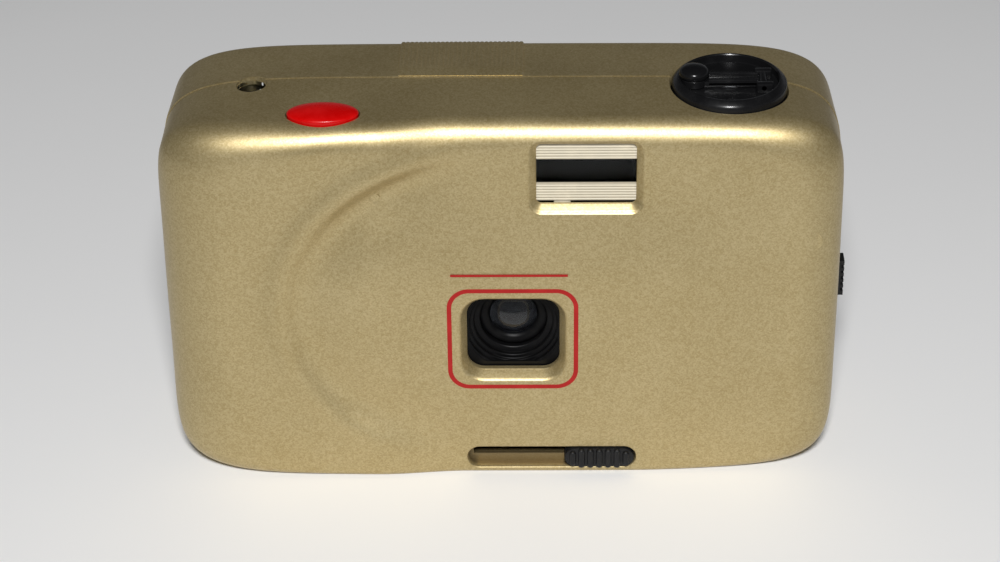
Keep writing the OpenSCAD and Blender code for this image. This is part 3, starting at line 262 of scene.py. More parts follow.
class Shader(Nodes):
    """A material's nodes around one Principled shader."""

    def __init__(self, name, **constants):
        self.material = bpy.data.materials.new(name)
        self.material.use_nodes = True
        super().__init__(self.material.node_tree, "Principled BSDF")
        for key, value in constants.items():
            self.base.inputs[key.replace("_", " ")].default_value = value

    def place(self, scale=(1, 1, 1)):
        """The surface's place in the frame, stretched by scale."""
        coordinates = self.node("ShaderNodeTexCoord", output="Object")
        return self.node("ShaderNodeMapping", None, {"Vector": coordinates, "Scale": scale})

    def noise(self, scale, detail=3, rough=0.5, place=None):
        """Noise with scale features per metre."""
        return self.node("ShaderNodeTexNoise", None,
                         {"Vector": place or self.place(), "Scale": scale, "Detail": detail,
                          "Roughness": rough})

    def bump(self, height, strength, distance):
        """Bump from a height, linked to the shader's normal."""
        self.link(self.node("ShaderNodeBump", None, {"Height": height, "Strength": strength,
                                                     "Distance": distance}), "Normal")


def slot_shade_share(s, sizes):
    """How far a place on the cover lies in the switch's slot, from 0 to 1, as the mask of the painted
    shade in the slot.
    """
    x, y, z = (s.node("ShaderNodeSeparateXYZ", None, {0: s.place()}, output=i) for i in range(3))
    across = s.node("ShaderNodeMath", {"operation": "ABSOLUTE"}, {0: x - sizes.slot_x * MM})
    end, rim, face = sizes.slot_w / 2, sizes.slot_z + sizes.slot_h / 2, sizes.foot_face_y
    limits = ((across, end + 0.65, end + 0.25), (y, face + 0.25, face + 1.25),
              (z, rim + 0.9, rim + 0.3), (y, face + 2.65, face + 2.25))
    length_share, front_share, height_share, back_share = (
        s.band(value, outside * MM, inside * MM) for value, outside, inside in limits)
    return length_share * front_share * height_share * back_share


def paint_gold(look, sizes):
    """Gold paint: fine flakes, slight clouds, a few rubs, orange peel, and painted shade in the slot.
    """
    s = Shader("gold_paint", Metallic=0.74, Coat_Weight=0.25, Coat_Roughness=0.42)
    cells = s.node("ShaderNodeTexVoronoi", None, {"Vector": s.place(), "Scale": 4200.0},
                   output="Color")
    flake = s.node("ShaderNodeSeparateColor", None, {"Color": cells})
    cloud = s.noise(70.0, 4)
    fine = s.noise(3600.0, 2)
    share = s.band(flake * 0.4 + fine * 0.3 + cloud * 0.3, -0.1, 1.1)
    tone = s.mix(share, look.gold_deep, look.gold_pale)
    rubs = s.noise(900.0, 5, 0.7, s.place((0.25, 1.0, 1.0)))
    patch = s.band(s.noise(26.0, 2), 0.68, 0.74)
    wear = s.band(rubs, 0.66, 0.7) * patch
    worn_and_shaded_gold = (0.13, 0.095, 0.045)
    # The rubs are real wear; the darker tone in the slot is painted shade, where the slot's upper lip
    # would shade its floor.
    s.link(s.mix(wear + slot_shade_share(s, sizes) * 0.8, tone, worn_and_shaded_gold), "Base Color")
    s.link(s.band(cloud + fine * 0.4, 0.3, 0.9, 0.39, 0.47), "Roughness")
    s.bump(flake * 0.6 + fine, 0.1, 0.00005)
    return s.material


def paint_plastic(name, tone, rough, grain, strength, coat=0.0, shine=0.3):
    """Moulded plastic: grain of so many features per metre, dust and a varied gloss."""
    s = Shader(name, Specular_IOR_Level=shine, Coat_Weight=coat, Coat_Roughness=0.12)
    dust = s.noise(240.0, 5, 0.65)
    specks = s.band(s.noise(2600.0, 2), 0.70, 0.76)
    pale = tuple(min(1.0, c * 1.3 + 0.006) for c in tone)
    s.link(s.mix(s.band(dust, 0.42, 0.75) * 0.6 + specks * 0.4, tone, pale), "Base Color")
    s.link(s.band(dust, 0.3, 0.7, rough - 0.05, rough + 0.08), "Roughness")
    s.bump(s.noise(grain, 3), strength, 0.00006)
    return s.material


def paint_steel(name, tone, rough, metallic=1.0):
    """Rolled steel: fine lines along X, a little staining."""
    s = Shader(name, Metallic=metallic)
    lines = s.noise(2500.0, 3, 0.6, s.place((0.08, 1.0, 1.0)))
    stain = s.band(s.noise(180.0, 4), 0.45, 0.75)
    dark = tuple(c * 0.62 for c in tone)
    s.link(s.mix(stain * 0.5 + lines * 0.25, tone, dark), "Base Color")
    s.link(s.band(lines + stain * 0.3, 0.3, 0.9, rough - 0.06, rough + 0.12), "Roughness")
    s.bump(lines, 0.12, 0.00003)
    return s.material


def paint_glass(name, tone, ior):
    """Clear glass or plastic with faint dust."""
    s = Shader(name, Transmission_Weight=1.0, IOR=ior)
    specks = s.band(s.noise(1800.0, 3), 0.66, 0.74)
    s.link(s.mix(specks, tone, tuple(c * 0.8 for c in tone)), "Base Color")
    s.link(specks * 0.12 + 0.005, "Roughness")
    return s.material


def paint_floor(look):
    """Smooth white board with a faint unevenness, which fades to a darker painted shade away from the
    camera, where the lamp's light falls off.
    """
    s = Shader("floor_board", Specular_IOR_Level=0.2)
    middle, painted_shade_grey = (0.0, 0.04, 0.0), (0.4, 0.4, 0.41)
    offset = s.node("ShaderNodeVectorMath", {"operation": "SUBTRACT"}, {0: s.place(), 1: middle})
    away = s.node("ShaderNodeVectorMath", {"operation": "LENGTH"}, {0: offset}, output="Value")
    board = s.mix(s.noise(9.0, 3), look.floor, tuple(c * 0.975 for c in look.floor))
    # Away from the middle the board fades to painted shade, standing in for the fall-off of the lamp's
    # light.
    s.link(s.mix(s.band(away + s.noise(5.0) * 0.02, 0.16, 0.4), board, painted_shade_grey), "Base Color")
    s.link(s.noise(40.0, 2) * 0.1 + 0.75, "Roughness")
    return s.material


def material(name):
    """The material of that name, made the first time it is asked for."""
    own_name = "pano_" + name
    found = bpy.data.materials.get(own_name)
    if not found:
        found = make_material(name)
        found.name = own_name
    return found


def make_material(name):
    """A new material of the camera or the stage."""
    look = bpy.context.scene.pano_look
    black = tuple(look.black)
    # Tone, roughness, grain per metre, strength of the grain, and where needed coat and shine
    plastics = {
        "black_plastic": (black, 0.42, 1600.0, 0.30),
        "gloss_black": (black, 0.24, 900.0, 0.10, 0.15, 0.2),
        "lens_black": (tuple(c * 0.5 for c in black), 0.4, 2200.0, 0.2, 0, 0.1),
        "red_plastic": (tuple(look.red), 0.28, 700.0, 0.08, 0.1, 0.2),
        "red_print": (tuple(look.print_red), 0.45, 3000.0, 0.15),
        "cream_plastic": (tuple(look.cream), 0.38, 1400.0, 0.12),
        "pale_print": ((0.7, 0.7, 0.68), 0.5, 2500.0, 0.1),
    }
    # Tone, roughness, and where needed how metallic it is
    steels = {
        "steel": (tuple(look.steel), 0.34),
        "dark_steel": ((0.09, 0.09, 0.10), 0.45, 0.8),
    }
    # Tone and index of refraction
    glasses = {
        "lens_glass": ((0.3, 0.32, 0.35), 1.5),
        "clear_glass": ((0.92, 0.95, 0.95), 1.2),
    }
    for paint, kinds in ((paint_plastic, plastics), (paint_steel, steels), (paint_glass, glasses)):
        if name in kinds:
            return paint(name, *kinds[name])
    if name == "gold_paint":
        return paint_gold(look, millimetres(bpy.context))
    if name == "floor_board":
        return paint_floor(look)
    raise ValueError(f"no material is named {name}")


# Meshes, with points in millimetres


def shade(obj, angle):
    """Smooth shading, with edges over the angle kept sharp."""
    mesh = obj.data
    mesh.polygons.foreach_set("use_smooth", [True] * len(mesh.polygons))
    mesh.set_sharp_from_angle(angle=math.radians(angle))


def solid(name, parts, paint=None, angle=34):
    """Object from (points, faces) parts, in the paint of that name."""
    bm = bmesh.new()
    for points, faces in parts:
        verts = [bm.verts.new([float(c) * MM for c in p]) for p in points]
        for face in faces:
            bm.faces.new([verts[i] for i in face])
    bmesh.ops.recalc_face_normals(bm, faces=bm.faces)
    mesh = bpy.data.meshes.new(name)
    bm.to_mesh(mesh)
    bm.free()
    obj = bpy.data.objects.new(name, mesh)
    bpy.context.scene.collection.objects.link(obj)
    if paint:
        mesh.materials.append(material(paint))
    shade(obj, angle)
    return obj


def loft(rings, closed=False):
    """Skin through rings of points, with flat ends or closed on itself; one point is a tip."""
    points, faces, starts = [], [], []
    for ring in rings:
        starts.append(len(points))
        points.extend(tuple(p) for p in ring)
    pairs = list(zip(range(len(rings) - 1), range(1, len(rings))))
    if closed:
        pairs.append((len(rings) - 1, 0))
    for a, b in pairs:
        i, j, n, m = starts[a], starts[b], len(rings[a]), len(rings[b])
        if n == 1:
            faces += [(i, j + (k + 1) % m, j + k) for k in range(m)]
        elif m == 1:
            faces += [(i + k, i + (k + 1) % n, j) for k in range(n)]
        else:
            faces += [(i + k, i + (k + 1) % n, j + (k + 1) % n, j + k) for k in range(n)]
    if not closed:
        for ring, start in ((rings[0], starts[0]), (rings[-1], starts[-1])):
            if len(ring) > 2:
                faces.append(tuple(range(start, start + len(ring))))
    return points, faces


def block(lo, hi):
    """Box between two corners."""
    (x0, y0, z0), (x1, y1, z1) = lo, hi
    return loft([[(x0, y0, z), (x1, y0, z), (x1, y1, z), (x0, y1, z)] for z in (z0, z1)])


def soft_block(lo, hi, r):
    """Box with its edges bevelled by r."""
    (x0, y0, z0), (x1, y1, z1) = lo, hi
    part = 0.3 * r
    rings = []
    for z, inset in ((z0, r), (z0 + part, part), (z0 + r, 0), (z1 - r, 0), (z1 - part, part), (z1, r)):
        a, b, c, d = x0 + inset, x1 - inset, y0 + inset, y1 - inset
        k = max(r - inset, 0.02)
        rings.append([(a + k, c, z), (b - k, c, z), (b, c + k, z), (b, d - k, z), (b - k, d, z),
                      (a + k, d, z), (a, d - k, z), (a, c + k, z)])
    return loft(rings)


def round_z(x, y, z, r, n=64, squash=1.0):
    """Ring around Z."""
    if r < 1e-6:
        return [(x, y, z)]
    return [(x + r * math.cos(2 * math.pi * k / n), y + squash * r * math.sin(2 * math.pi * k / n), z)
            for k in range(n)]


def round_y(x, z, y, r, n=64):
    """Ring around Y."""
    return [(px, y, pz) for px, pz, _ in round_z(x, z, 0, r, n)]


def turned_z(x, y, profile, n=64, closed=False):
    """Body of revolution around Z, from (radius, height) pairs."""
    return loft([round_z(x, y, z, r, n) for r, z in profile], closed=closed)


def turned_y(x, z, profile, n=64, closed=False):
    """Body of revolution around Y, from (radius, y) pairs."""
    return loft([round_y(x, z, y, r, n) for r, y in profile], closed=closed)


def corner_loop(w, h, r, n):
    """Rectangle with round corners about its middle, as (x, z) pairs."""
    r = min(r, w / 2 - 1e-3, h / 2 - 1e-3)
    loop = []
    for quarter, (i, j) in enumerate(((1, 1), (-1, 1), (-1, -1), (1, -1))):
        for k in range(n + 1):
            a = math.pi / 2 * (quarter + k / n)
            loop.append((i * (w / 2 - r) + r * math.cos(a), j * (h / 2 - r) + r * math.sin(a)))
    return loop


def upright(x, z, w, h, r, y, n=10):
    """Round-cornered ring in the plane at y."""
    return [(x + a, y, z + b) for a, b in corner_loop(w, h, r, n)]


def carve(target, parts, operation="DIFFERENCE"):
    """Cuts the parts from the target, or joins them to it, one after the other."""
    fewest_faces = 50
    tools = []
    for index, part in enumerate(parts):
        tool = solid(f"{target.name}_tool", [part])
        modifier = target.modifiers.new(f"tool_{index}", "BOOLEAN")
        modifier.operation = operation
        modifier.solver = "MANIFOLD"
        modifier.object = tool
        tools.append(tool)
    graph = bpy.context.evaluated_depsgraph_get()
    mesh = bpy.data.meshes.new_from_object(target.evaluated_get(graph))
    if len(mesh.polygons) < fewest_faces:
        raise RuntimeError(f"cutting {target.name} left {len(mesh.polygons)} faces")
    old = target.data
    target.modifiers.clear()
    target.data = mesh
    bpy.data.meshes.remove(old)
    for tool in tools:
        data = tool.data
        bpy.data.objects.remove(tool)
        bpy.data.meshes.remove(data)


def stands_for(obj, body, slot, *nodes):
    """The piece rides on a body and the CAD nodes it replaces are hidden; the slot argument is not
    used.
    """
    if nodes:
        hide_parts(*nodes)
    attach(obj, body)


# Shape of the covers


def ease(v, a, b):
    """Smooth step from 0 at a to 1 at b."""
    t = np.clip((v - a) / (b - a), 0, 1)
    return t * t * (3 - 2 * t)


def crescent(s, x, z):
    """Distance inside the crescent that bounds the grip."""
    (mid_x, mid_z), (half_x, half_z) = s.crescent_mid, s.crescent_half
    return s.crescent_span * (1 - np.sqrt(((x - mid_x) / half_x) ** 2 + ((z - mid_z) / half_z) ** 2))


def face_depth(s, x, z):
    """Depth of the front face, forwards from the seam, with a groove and a hollow by the grip."""
    groove_depth, hollow_depth = 0.5, 1.3
    rho = crescent(s, x, z)
    g = (1 - ease(rho, 0, s.crescent_w)) * (1 - ease(x, *s.grip_end))
    rise = 1 - ease(z, s.lens_z + 9, s.lens_z + 27)
    side = 1 - ease(x, s.lens_x + 20, s.body_w / 2 - 8)
    foot = s.lens_depth - (s.lens_depth - s.foot_depth) * (1 - ease(z, 2, 14))
    depth = g * s.grip_depth + (1 - g) * (s.top_depth + (foot - s.top_depth) * rise * side)
    ends = (1 - ease(x, -20, 0)) * ease(z, 5, 16)
    groove = groove_depth * ease(rho, -12, -4) * (1 - ease(rho, -3.4, -0.2)) * ends
    hollow = hollow_depth * ease(rho, 0, 3.5) * (1 - ease(rho, 3.5, 14)) * ends
    return depth - groove - hollow


def turn_angles(n):
    """Angles around the outline, closer at its corners."""
    t = 2 * np.pi * (np.arange(n) + 0.5) / n
    return t + 0.15 * np.sin(4 * t)


def outline(s, a, inset, q):
    """Outline of the body, taken in on its left, right, top and bottom."""
    c, d = np.cos(a), np.sin(a)
    r = (np.abs(c) ** q + np.abs(d) ** q) ** (-1 / q) * (1 - s.side_bow * np.sin(2 * a) ** 2)
    x = (s.body_w / 2 - np.where(c < 0, inset[0], inset[1])) * r * c
    z = s.mid_z + (s.half_h - np.where(d > 0, inset[2], inset[3])) * r * d
    return x, z


def front_ring(s, a, u):
    """Ring of the front cover, u into its round."""
    k = 1 - math.cos(u)
    x, z = outline(s, a, [s.left_round[0] * k + s.draft, s.right_round[0] * k + s.draft,
                          s.top_round[0] * k + s.draft, s.bottom_round[0] * k], s.front_squareness)
    share = np.cos(a) ** 4 / (np.cos(a) ** 4 + np.sin(a) ** 4)
    deep = (share * np.where(x < 0, s.left_round[1], s.right_round[1])
            + (1 - share) * np.where(z > s.mid_z, s.top_round[1], s.bottom_round[1]))
    return np.stack([x, s.seam_y - face_depth(s, x, z) + deep * (1 - math.sin(u)), z], axis=1)


def door_ring(s, a, u):
    """Ring of the door, u into its round."""
    k = s.door_round * (1 - math.cos(u))
    side = k + s.draft * 0.6
    x, z = outline(s, a, [side, side, side, k], s.squareness)
    return np.stack([x, np.full_like(x, s.back_y - s.door_round * (1 - math.sin(u))), z], axis=1)


def prism_ring(s, a, inset, y):
    """Ring of the room inside the covers, taken in at its sides and at its ends."""
    side, end = inset
    x, z = outline(s, a, [side, side, end, end], s.squareness)
    return np.stack([x, np.full_like(x, y), z], axis=1)


def hinge_row(s, first, way):
    """Knuckles of the hinge, every other one from first, with webs towards way."""
    parts = []
    step, play, soft, r = s.hinge_l / s.knuckles, 0.1, 0.25, s.knuckle_r
    web = s.seam_y + way * (s.hinge_relief + 0.6)
    for k in range(first, s.knuckles, 2):
        z0 = s.hinge_z + k * step + play
        z1 = s.hinge_z + (k + 1) * step - play
        parts.append(turned_z(s.hinge_x, s.seam_y, [(r - 0.3, z0), (r, z0 + soft), (r, z1 - soft),
                                                    (r - 0.3, z1)], 32))
        parts.append(block((s.hinge_x - r + 0.1, min(s.seam_y, web), z0),
                           (s.hinge_x + 0.9, max(s.seam_y, web), z1)))
    return parts


def hinge_room(s, ahead, behind):
    """Cutter for the room around the hinge's knuckles."""
    return block((-FAR, s.seam_y - ahead, 7.2), (s.hinge_x + 2.6, s.seam_y + behind, 62))


def top_holes(s):
    """Cutters for the counter's hole and the crank's recess, which both covers share."""
    top = s.body_h
    counter = [(s.counter_r, top - 6), (s.counter_r, top - 0.45), (s.counter_r + 0.5, top + 0.1),
               (s.counter_r + 1, top + 1)]
    recess = [(s.recess_r, top - 6), (s.recess_r, top - 0.5), (s.recess_r + 0.35, top),
              (s.recess_r + 0.9, top + 1)]
    return [turned_z(-s.counter_left, s.counter_y, counter, 64),
            turned_z(s.cassette_x, s.cassette_y, recess, 128)]


def base_and_pin(s, r):
    """Cutters for the flat base and the hinge pin's hole of radius r."""
    return [block((-FAR, -FAR / 2, -5), (FAR, FAR / 2, 0)),
            turned_z(s.hinge_x, s.seam_y, [(r, s.hinge_z - 1), (r, s.hinge_z + s.hinge_l + 1)], 24)]


def sloped_cut(x, z, w, h, slope, r, face_y, depth, through):
    """Cutter for a window whose sides slope outwards, with softly rounded edges."""
    wide = 2 * slope
    rows = [(-1.2, wide + 3.4, r + 2.6), (-0.05, wide + 1.0, r + 1.5), (0.06, wide + 0.5, r + 1.3),
            (0.22, wide + 0.1, r + 1.15), (0.5, wide - 0.35, r + 0.95), (depth - 0.3, 0.42, r + 0.3),
            (depth - 0.1, 0.16, r + 0.1), (depth, 0.02, r), (through, 0.0, r)]
    return loft([upright(x, z, w + grow, h + grow, k, face_y + d, 8) for d, grow, k in rows])


def front_skin(s):
    """Rings of the front cover, from the seam over its round to the middle of its face."""
    a, turns = turn_angles(336), 14
    x, z = outline(s, a, [0.12, 0.12, 0.13, 0], s.squareness)
    seam = np.stack([x, np.full_like(x, s.seam_y), z], axis=1)
    first = front_ring(s, a, 0)
    rings = [seam] + [seam + (first - seam) * t for t in (0.02, 0.25, 0.5, 0.75)]
    rings += [front_ring(s, a, math.pi / 2 * k / turns) for k in range(turns + 1)]
    edge = rings[-1]
    for share in [0.985, 0.97] + [0.95 - 0.0185 * k for k in range(51)]:
        px = share * edge[:, 0]
        pz = s.mid_z + share * (edge[:, 2] - s.mid_z)
        rings.append(np.stack([px, s.seam_y - face_depth(s, px, pz), pz], axis=1))
    centre = np.array([0.0]), np.array([s.mid_z])
    rings.append([(0.0, float(s.seam_y - face_depth(s, *centre)[0]), s.mid_z)])
    return rings


def front_inside(s):
    """Seats, pivots and posts on the inside of the front cover."""
    sunk, half_w, reach = s.cavity_y - 0.6, s.body_w / 2, s.slot_w / 2 + 2
    parts = [block((s.slot_x - reach, sunk, 1), (s.slot_x + reach, s.cavity_y + 1, 6.3)),
             block((s.button_x - 3.2, sunk, 57.1), (s.button_x + 3.2, s.button_y + 2.6, 58.3)),
             block((half_w - 5.2, s.seam_y - 4.4, 21), (half_w - 1.2, s.seam_y - 3, 25.5)),
             turned_z(s.dial_x, s.counter_y, [(1.2, s.dial_z), (1.2, s.body_h - 1.2)], 32),
             turned_y(s.button_x + 8.4, 54.9, [(0.8, sunk), (0.8, s.button_y + 1.4)], 24)]
    post_r = 2.2
    for px in (8 - half_w, half_w - 6.5):
        for pz in (11, 46.2):
            parts.append(turned_y(px, pz, [(post_r, sunk), (post_r, s.post_y)], 32))
    return parts


def front_openings(s):
    """Cutters for both windows, the slot with its slit, and the button's hole."""
    face, top, play = s.foot_face_y, s.body_h, 0.5
    slot = [upright(s.slot_x, s.slot_z, s.slot_w + g, s.slot_h + g, 9, y, 12)
            for y, g in ((face - 1.5, 2.4), (face - 0.05, 0.5), (face + 0.12, 0.16), (face + 0.4, 0),
                         (s.pocket_y, 0))]
    slit = block((s.slot_x - s.slot_w / 2 + 0.9, -FAR / 2, 2.85),
                 (s.knob_x + 3.2, s.cavity_y + 2, 4.95))
    hole_w, hole_d = s.button_w + play, s.button_d + play
    hole = [round_z(s.button_x, s.button_y, z, hole_w / 2, 96, hole_d / hole_w)
            for z in (top - 8, top + 4)]
    return [sloped_cut(s.lens_x, s.opening_z, s.opening_w, s.opening_h, s.opening_slope, 3.0,
                       s.lens_face_y, 2.0, 6),
            sloped_cut(s.finder_x, s.finder_z, s.finder_w, s.finder_h, s.finder_slope, 0.9,
                       s.seam_y - s.top_depth, 1.2, 3),
            loft(slot), slit, loft(hole)]


def build_front_cover(s):
    """Front cover: skin with its rounds and swells, hollow, cut for windows and controls."""
    cover = solid("front_shell", [loft(front_skin(s))], "gold_paint")
    few, thin = turn_angles(96), (s.wall, s.wall)
    room = loft([prism_ring(s, few, s.front_inset, s.cavity_y),
                 prism_ring(s, few, s.front_inset, s.post_y),
                 prism_ring(s, few, thin, s.post_y + 0.1), prism_ring(s, few, thin, s.seam_y + 1)])
    carve(cover, [room, hinge_room(s, s.hinge_relief, 1)])
    carve(cover, front_inside(s) + hinge_row(s, 0, -1), "UNION")
    rewind_hole = turned_z(s.sprocket_x, s.seam_y - 4, [(2.3, -1), (2.2, 0.25), (2.2, 4.8)], 32)
    carve(cover, front_openings(s) + top_holes(s) + [rewind_hole] + base_and_pin(s, 0.63))
    shade(cover, 30)
    stands_for(cover, "camera_body", "gold_paint", "front_cover")


def door_skin(s):
    """Rings of the door, from the seam over its round and into its flat back."""
    a, turns, seam_gap = turn_angles(288), 12, 0.15
    x, z = outline(s, a, [0, 0, 0, 0], s.squareness)
    seam = np.stack([x, np.full_like(x, s.seam_y + seam_gap), z], axis=1)
    first = door_ring(s, a, 0)
    edge = seam * [0.9985, 1, 1]
    edge[:, 2] = s.mid_z + (seam[:, 2] - s.mid_z) * 0.998
    rings = [edge] + [seam + (first - seam) * t for t in (0.012, 0.03, 0.33, 0.66)]
    rings += [door_ring(s, a, math.pi / 2 * k / turns) for k in range(turns + 1)]
    last = rings[-1]
    for share in (0.985, 0.95, 0.8, 0.5, 0.2):
        pz = s.mid_z + share * (last[:, 2] - s.mid_z)
        rings.append(np.stack([share * last[:, 0], last[:, 1], pz], axis=1))
    return rings


def build_door(s):
    """Back door: skin with its round, hollow, cut for the thumbwheel, windows and latch."""
    door = solid("back_shell", [loft(door_skin(s))], "gold_paint")
    few, thin, thick = turn_angles(96), (s.wall, s.wall), (3.4, 3.4)
    front, deep, side = s.back_y - s.door_round, s.back_y - s.wall, s.body_w / 2
    room = loft([prism_ring(s, few, thin, s.seam_y - 1), prism_ring(s, few, thin, front),
                 prism_ring(s, few, thick, front + 0.05), prism_ring(s, few, thick, deep)])
    latch = block((side - 4, s.seam_y + 0.9, 20.7), (side + 2, s.seam_y + 4.3, 32.3))
    carve(door, [room, hinge_room(s, 1, s.hinge_relief), latch])
    posts = [turned_y(s.lens_x + i * 12, s.lens_z, [(1.2, deep - 1.2), (1.2, deep + 0.5)], 24)
             for i in (-1, 1)]
    carve(door, posts + hinge_row(s, 1, 1), "UNION")
    windows = [(s.finder_x, s.finder_z, 9.5, 7.5, 2.0), (s.cassette_x, s.lens_z, 6.0, 22.0, 1.5)]
    cuts = [loft([upright(px, pz, w + g, h + g, r + g / 2, y) for y, g in
                  ((deep - 2, 0), (s.back_y - 0.7, 0), (s.back_y - 0.1, 0.9), (s.back_y + 1, 2.4))])
            for px, pz, w, h, r in windows]
    wheel_r, wheel_low, wheel_high = 14.8, s.wheel_z - 0.5, s.wheel_z + 4.5
    cuts.append(turned_z(s.spool_x, s.spool_y, [(wheel_r, wheel_low), (wheel_r, wheel_high)], 128))
    carve(door, cuts + top_holes(s) + base_and_pin(s, 0.66))
    shade(door, 30)
    stands_for(door, "door", "gold_paint", "back_door")
    build_thumb_pad(s)


def build_thumb_pad(s):
    """Raised pad of fine ribs for the thumb, over the door's top edge."""
    ribs, per_rib, left, width, sunk = 28, 8, -17.3, 21.2, 0.5
    count = ribs * per_rib
    start, bend = s.seam_y + 0.35, s.back_y - s.door_round
    drop = 0.36
    sections = []
    for k in range(count + 1):
        x = left + width * k / count
        end = min(1.0, min(k, count - k) / 2.0)
        h = 0.1 + end * (0.12 + 0.13 * abs(math.sin(math.pi * k / per_rib)) ** 0.7)
        crown = s.body_h - 0.03 * (x / 20) ** 2
        outer, inner = [], []
        for t in range(7):
            y = start + (bend - start) * t / 6
            slope = drop * (y - s.seam_y) / (bend - s.seam_y)
            rise = h * (0.25 if t == 0 else 1.0)
            outer.append((x, y, crown - slope + rise))
            inner.append((x, y, crown - slope - sunk))
        middle_z = crown - drop - s.door_round
        for t in range(1, 8):
            turn = math.radians(90 - 11 * t)
            for side, r in ((outer, s.door_round + h), (inner, s.door_round - sunk)):
                side.append((x, bend + r * math.cos(turn), middle_z + r * math.sin(turn)))
        sections.append(outer + inner[::-1])
    pad = solid("thumb_ribs", [loft(sections)], "gold_paint", 50)
    stands_for(pad, "door", "gold_paint")


def build_prints(s):
    """Red frame and red line printed on the front face."""
    y0, y1 = s.lens_face_y + 0.06, s.lens_face_y - 0.03
    x, z, w, h, t = s.lens_x - 0.07, s.opening_z + 0.17, 21.63, 19.39, s.frame_line
    loops = [upright(x, z, w + t * i, h + t * i, 3.4 + i * t / 2, y, 14)
             for i, y in ((1, y0), (1, y1), (-1, y1), (-1, y0))]
    ring = solid("red_frame", [loft(loops, closed=True)], "red_print")
    stands_for(ring, "camera_body", "red_plastic")
    bar = loft([upright(1.39, 41.0, 19.9, 0.42, 0.1, y, 3) for y in (y0, y1)])
    stands_for(solid("red_line", [bar], "red_print"), "camera_body", "red_plastic")


def build_lens(s):
    """Stepped shroud, retaining ring and domed glass."""
    x, z, y = s.lens_x, s.lens_z, s.ring_y
    steps = [(r, y + back) for r, back in
             ((9.3, 0), (9.3, -3.3), (8.6, -3.5), (8.25, -3.4), (8.15, -3.25), (8.15, -2.85),
              (8.05, -2.75), (7.65, -2.7), (7.55, -2.6), (7.55, -2.2), (7.45, -2.1), (6.95, -2.05),
              (6.85, -1.95), (6.85, -1.3), (6.75, -1.15), (5.95, -1.05), (5.82, -0.95), (5.82, 0))]
    loop = corner_loop(s.opening_w + 3, s.opening_h + 3, 4, 23)
    turn = [math.atan2(b, a) for a, b in loop]
    front, back, r = y - 3.6, y - 3.15, 8.5
    outer = [[(x + a, yy, s.opening_z + b) for a, b in loop] for yy in (back, front)]
    inner = [[(x + r * math.cos(t), yy, z + r * math.sin(t)) for t in turn] for yy in (front, back)]
    shroud = solid("stepped_shroud", [turned_y(x, z, steps, 128, closed=True),
                                      loft(outer + inner, closed=True)], "lens_black", 25)
    stands_for(shroud, "camera_body", "black_plastic", "lens_shroud")
    ring = [(4.1, y + 0.55), (4.35, y + 0.25), (4.75, y + 0.02), (5.5, y), (5.72, y + 0.1),
            (5.78, y + 0.3), (5.78, y + 1.2), (4.1, y + 1.2)]
    stands_for(solid("lens_ring", [turned_y(x, z, ring, 96, closed=True)], "lens_black"),
               "camera_body", "black_plastic", "lens_retaining_ring")
    dome_y, rim_r, curve_r, points = y - 1.45, 4.05, 5.5, 14
    dome = [(0.0, dome_y)]
    for k in range(1, points + 1):
        r = rim_r * k / points
        dome.append((r, dome_y + curve_r - math.sqrt(curve_r ** 2 - r * r)))
    dome += [(rim_r, y + 1.1), (3.9, y + 2.4), (0.0, y + 2.0)]
    stands_for(solid("domed_lens", [turned_y(x, z, dome, 96)], "lens_glass", 40),
               "camera_body", "glass", "front_lens")


def ribbed_plate(x0, x1, z0, z1, y0, y1, pitch, depth):
    """Plate with half-round ribs along X on its front."""
    count = max(1, round((z1 - z0) / pitch))
    section = []
    for k in range(count):
        low = z0 + (z1 - z0) * k / count
        for j in range(6):
            t = j / 6
            section.append((y0 - depth * math.sin(math.pi * t) ** 0.8, low + (z1 - z0) / count * t))
    section += [(y0, z1), (y1, z1), (y1, z0)]
    return loft([[(x, y, z) for y, z in section] for x in (x0, x1)])


def build_viewfinder(s):
    """Cream blinds with ribs, each with its arm and guide pin."""
    y0, y1, pin_end = s.blind_y + 0.12, s.blind_y + 0.9, s.cam_y + 0.9
    x0, x1 = s.finder_x - s.finder_w / 2 - 1.2, s.finder_x + s.finder_w / 2 + 1.2
    up, low, height = s.finder_z + 2.4, s.finder_z - 2.4, 3.1
    for name, node, left, base, pin_x, pin_z, arm_top in (
            ("upper_blind", "viewfinder_blind_upper", 1.3, up, 2.7, 46.1, up + 0.3),
            ("lower_blind", "viewfinder_blind_lower", x0, low - height, 10.4, 43.9, low - 1)):
        parts = [ribbed_plate(left, x1, base, base + height, y0, y1, 0.52, 0.18),
                 soft_block((pin_x - 1.4, y0, pin_z - 1.2), (pin_x + 1.4, y1, arm_top), 0.15),
                 turned_y(pin_x, pin_z, [(0.8, y0 + 0.1), (0.8, pin_end - 0.1), (0.65, pin_end)], 24)]
        stands_for(solid(name, parts, "cream_plastic", 60), name, "cream_plastic", node)


def build_switch(s):
    """Ribbed knob of the panorama switch, with its leg through the slit."""
    front, h, ribs = s.foot_face_y - 0.9, s.slot_h - 2 * s.knob_play, 7
    rows = [(s.pocket_y - 0.1, 0), (front + 0.85, 0), (front + 0.6, -0.25), (front + 0.5, -0.9)]
    parts = [loft([upright(s.knob_x, s.slot_z, s.knob_w + g, h + g, 9, y, 12) for y, g in rows])]
    pitch = (s.knob_w - 1.4) / ribs
    for k in range(ribs):
        x = s.knob_x + (k - ribs // 2) * pitch
        tall = h if 0 < k < ribs - 1 else h - 0.9
        parts.append(loft([upright(x, s.slot_z, 1.12 + g, tall + g, 0.5, y, 5) for y, g in
                           ((front + 0.9, 0), (front + 0.3, 0), (front + 0.1, -0.15), (front, -0.45))]))
    parts.append(block((s.knob_x - 3, s.pocket_y - 0.12, 2.95), (s.knob_x + 3, s.cam_y, 4.15)))
    stands_for(solid("ribbed_knob", parts, "black_plastic", 40), "switch", "black_plastic",
               "panorama_slider")


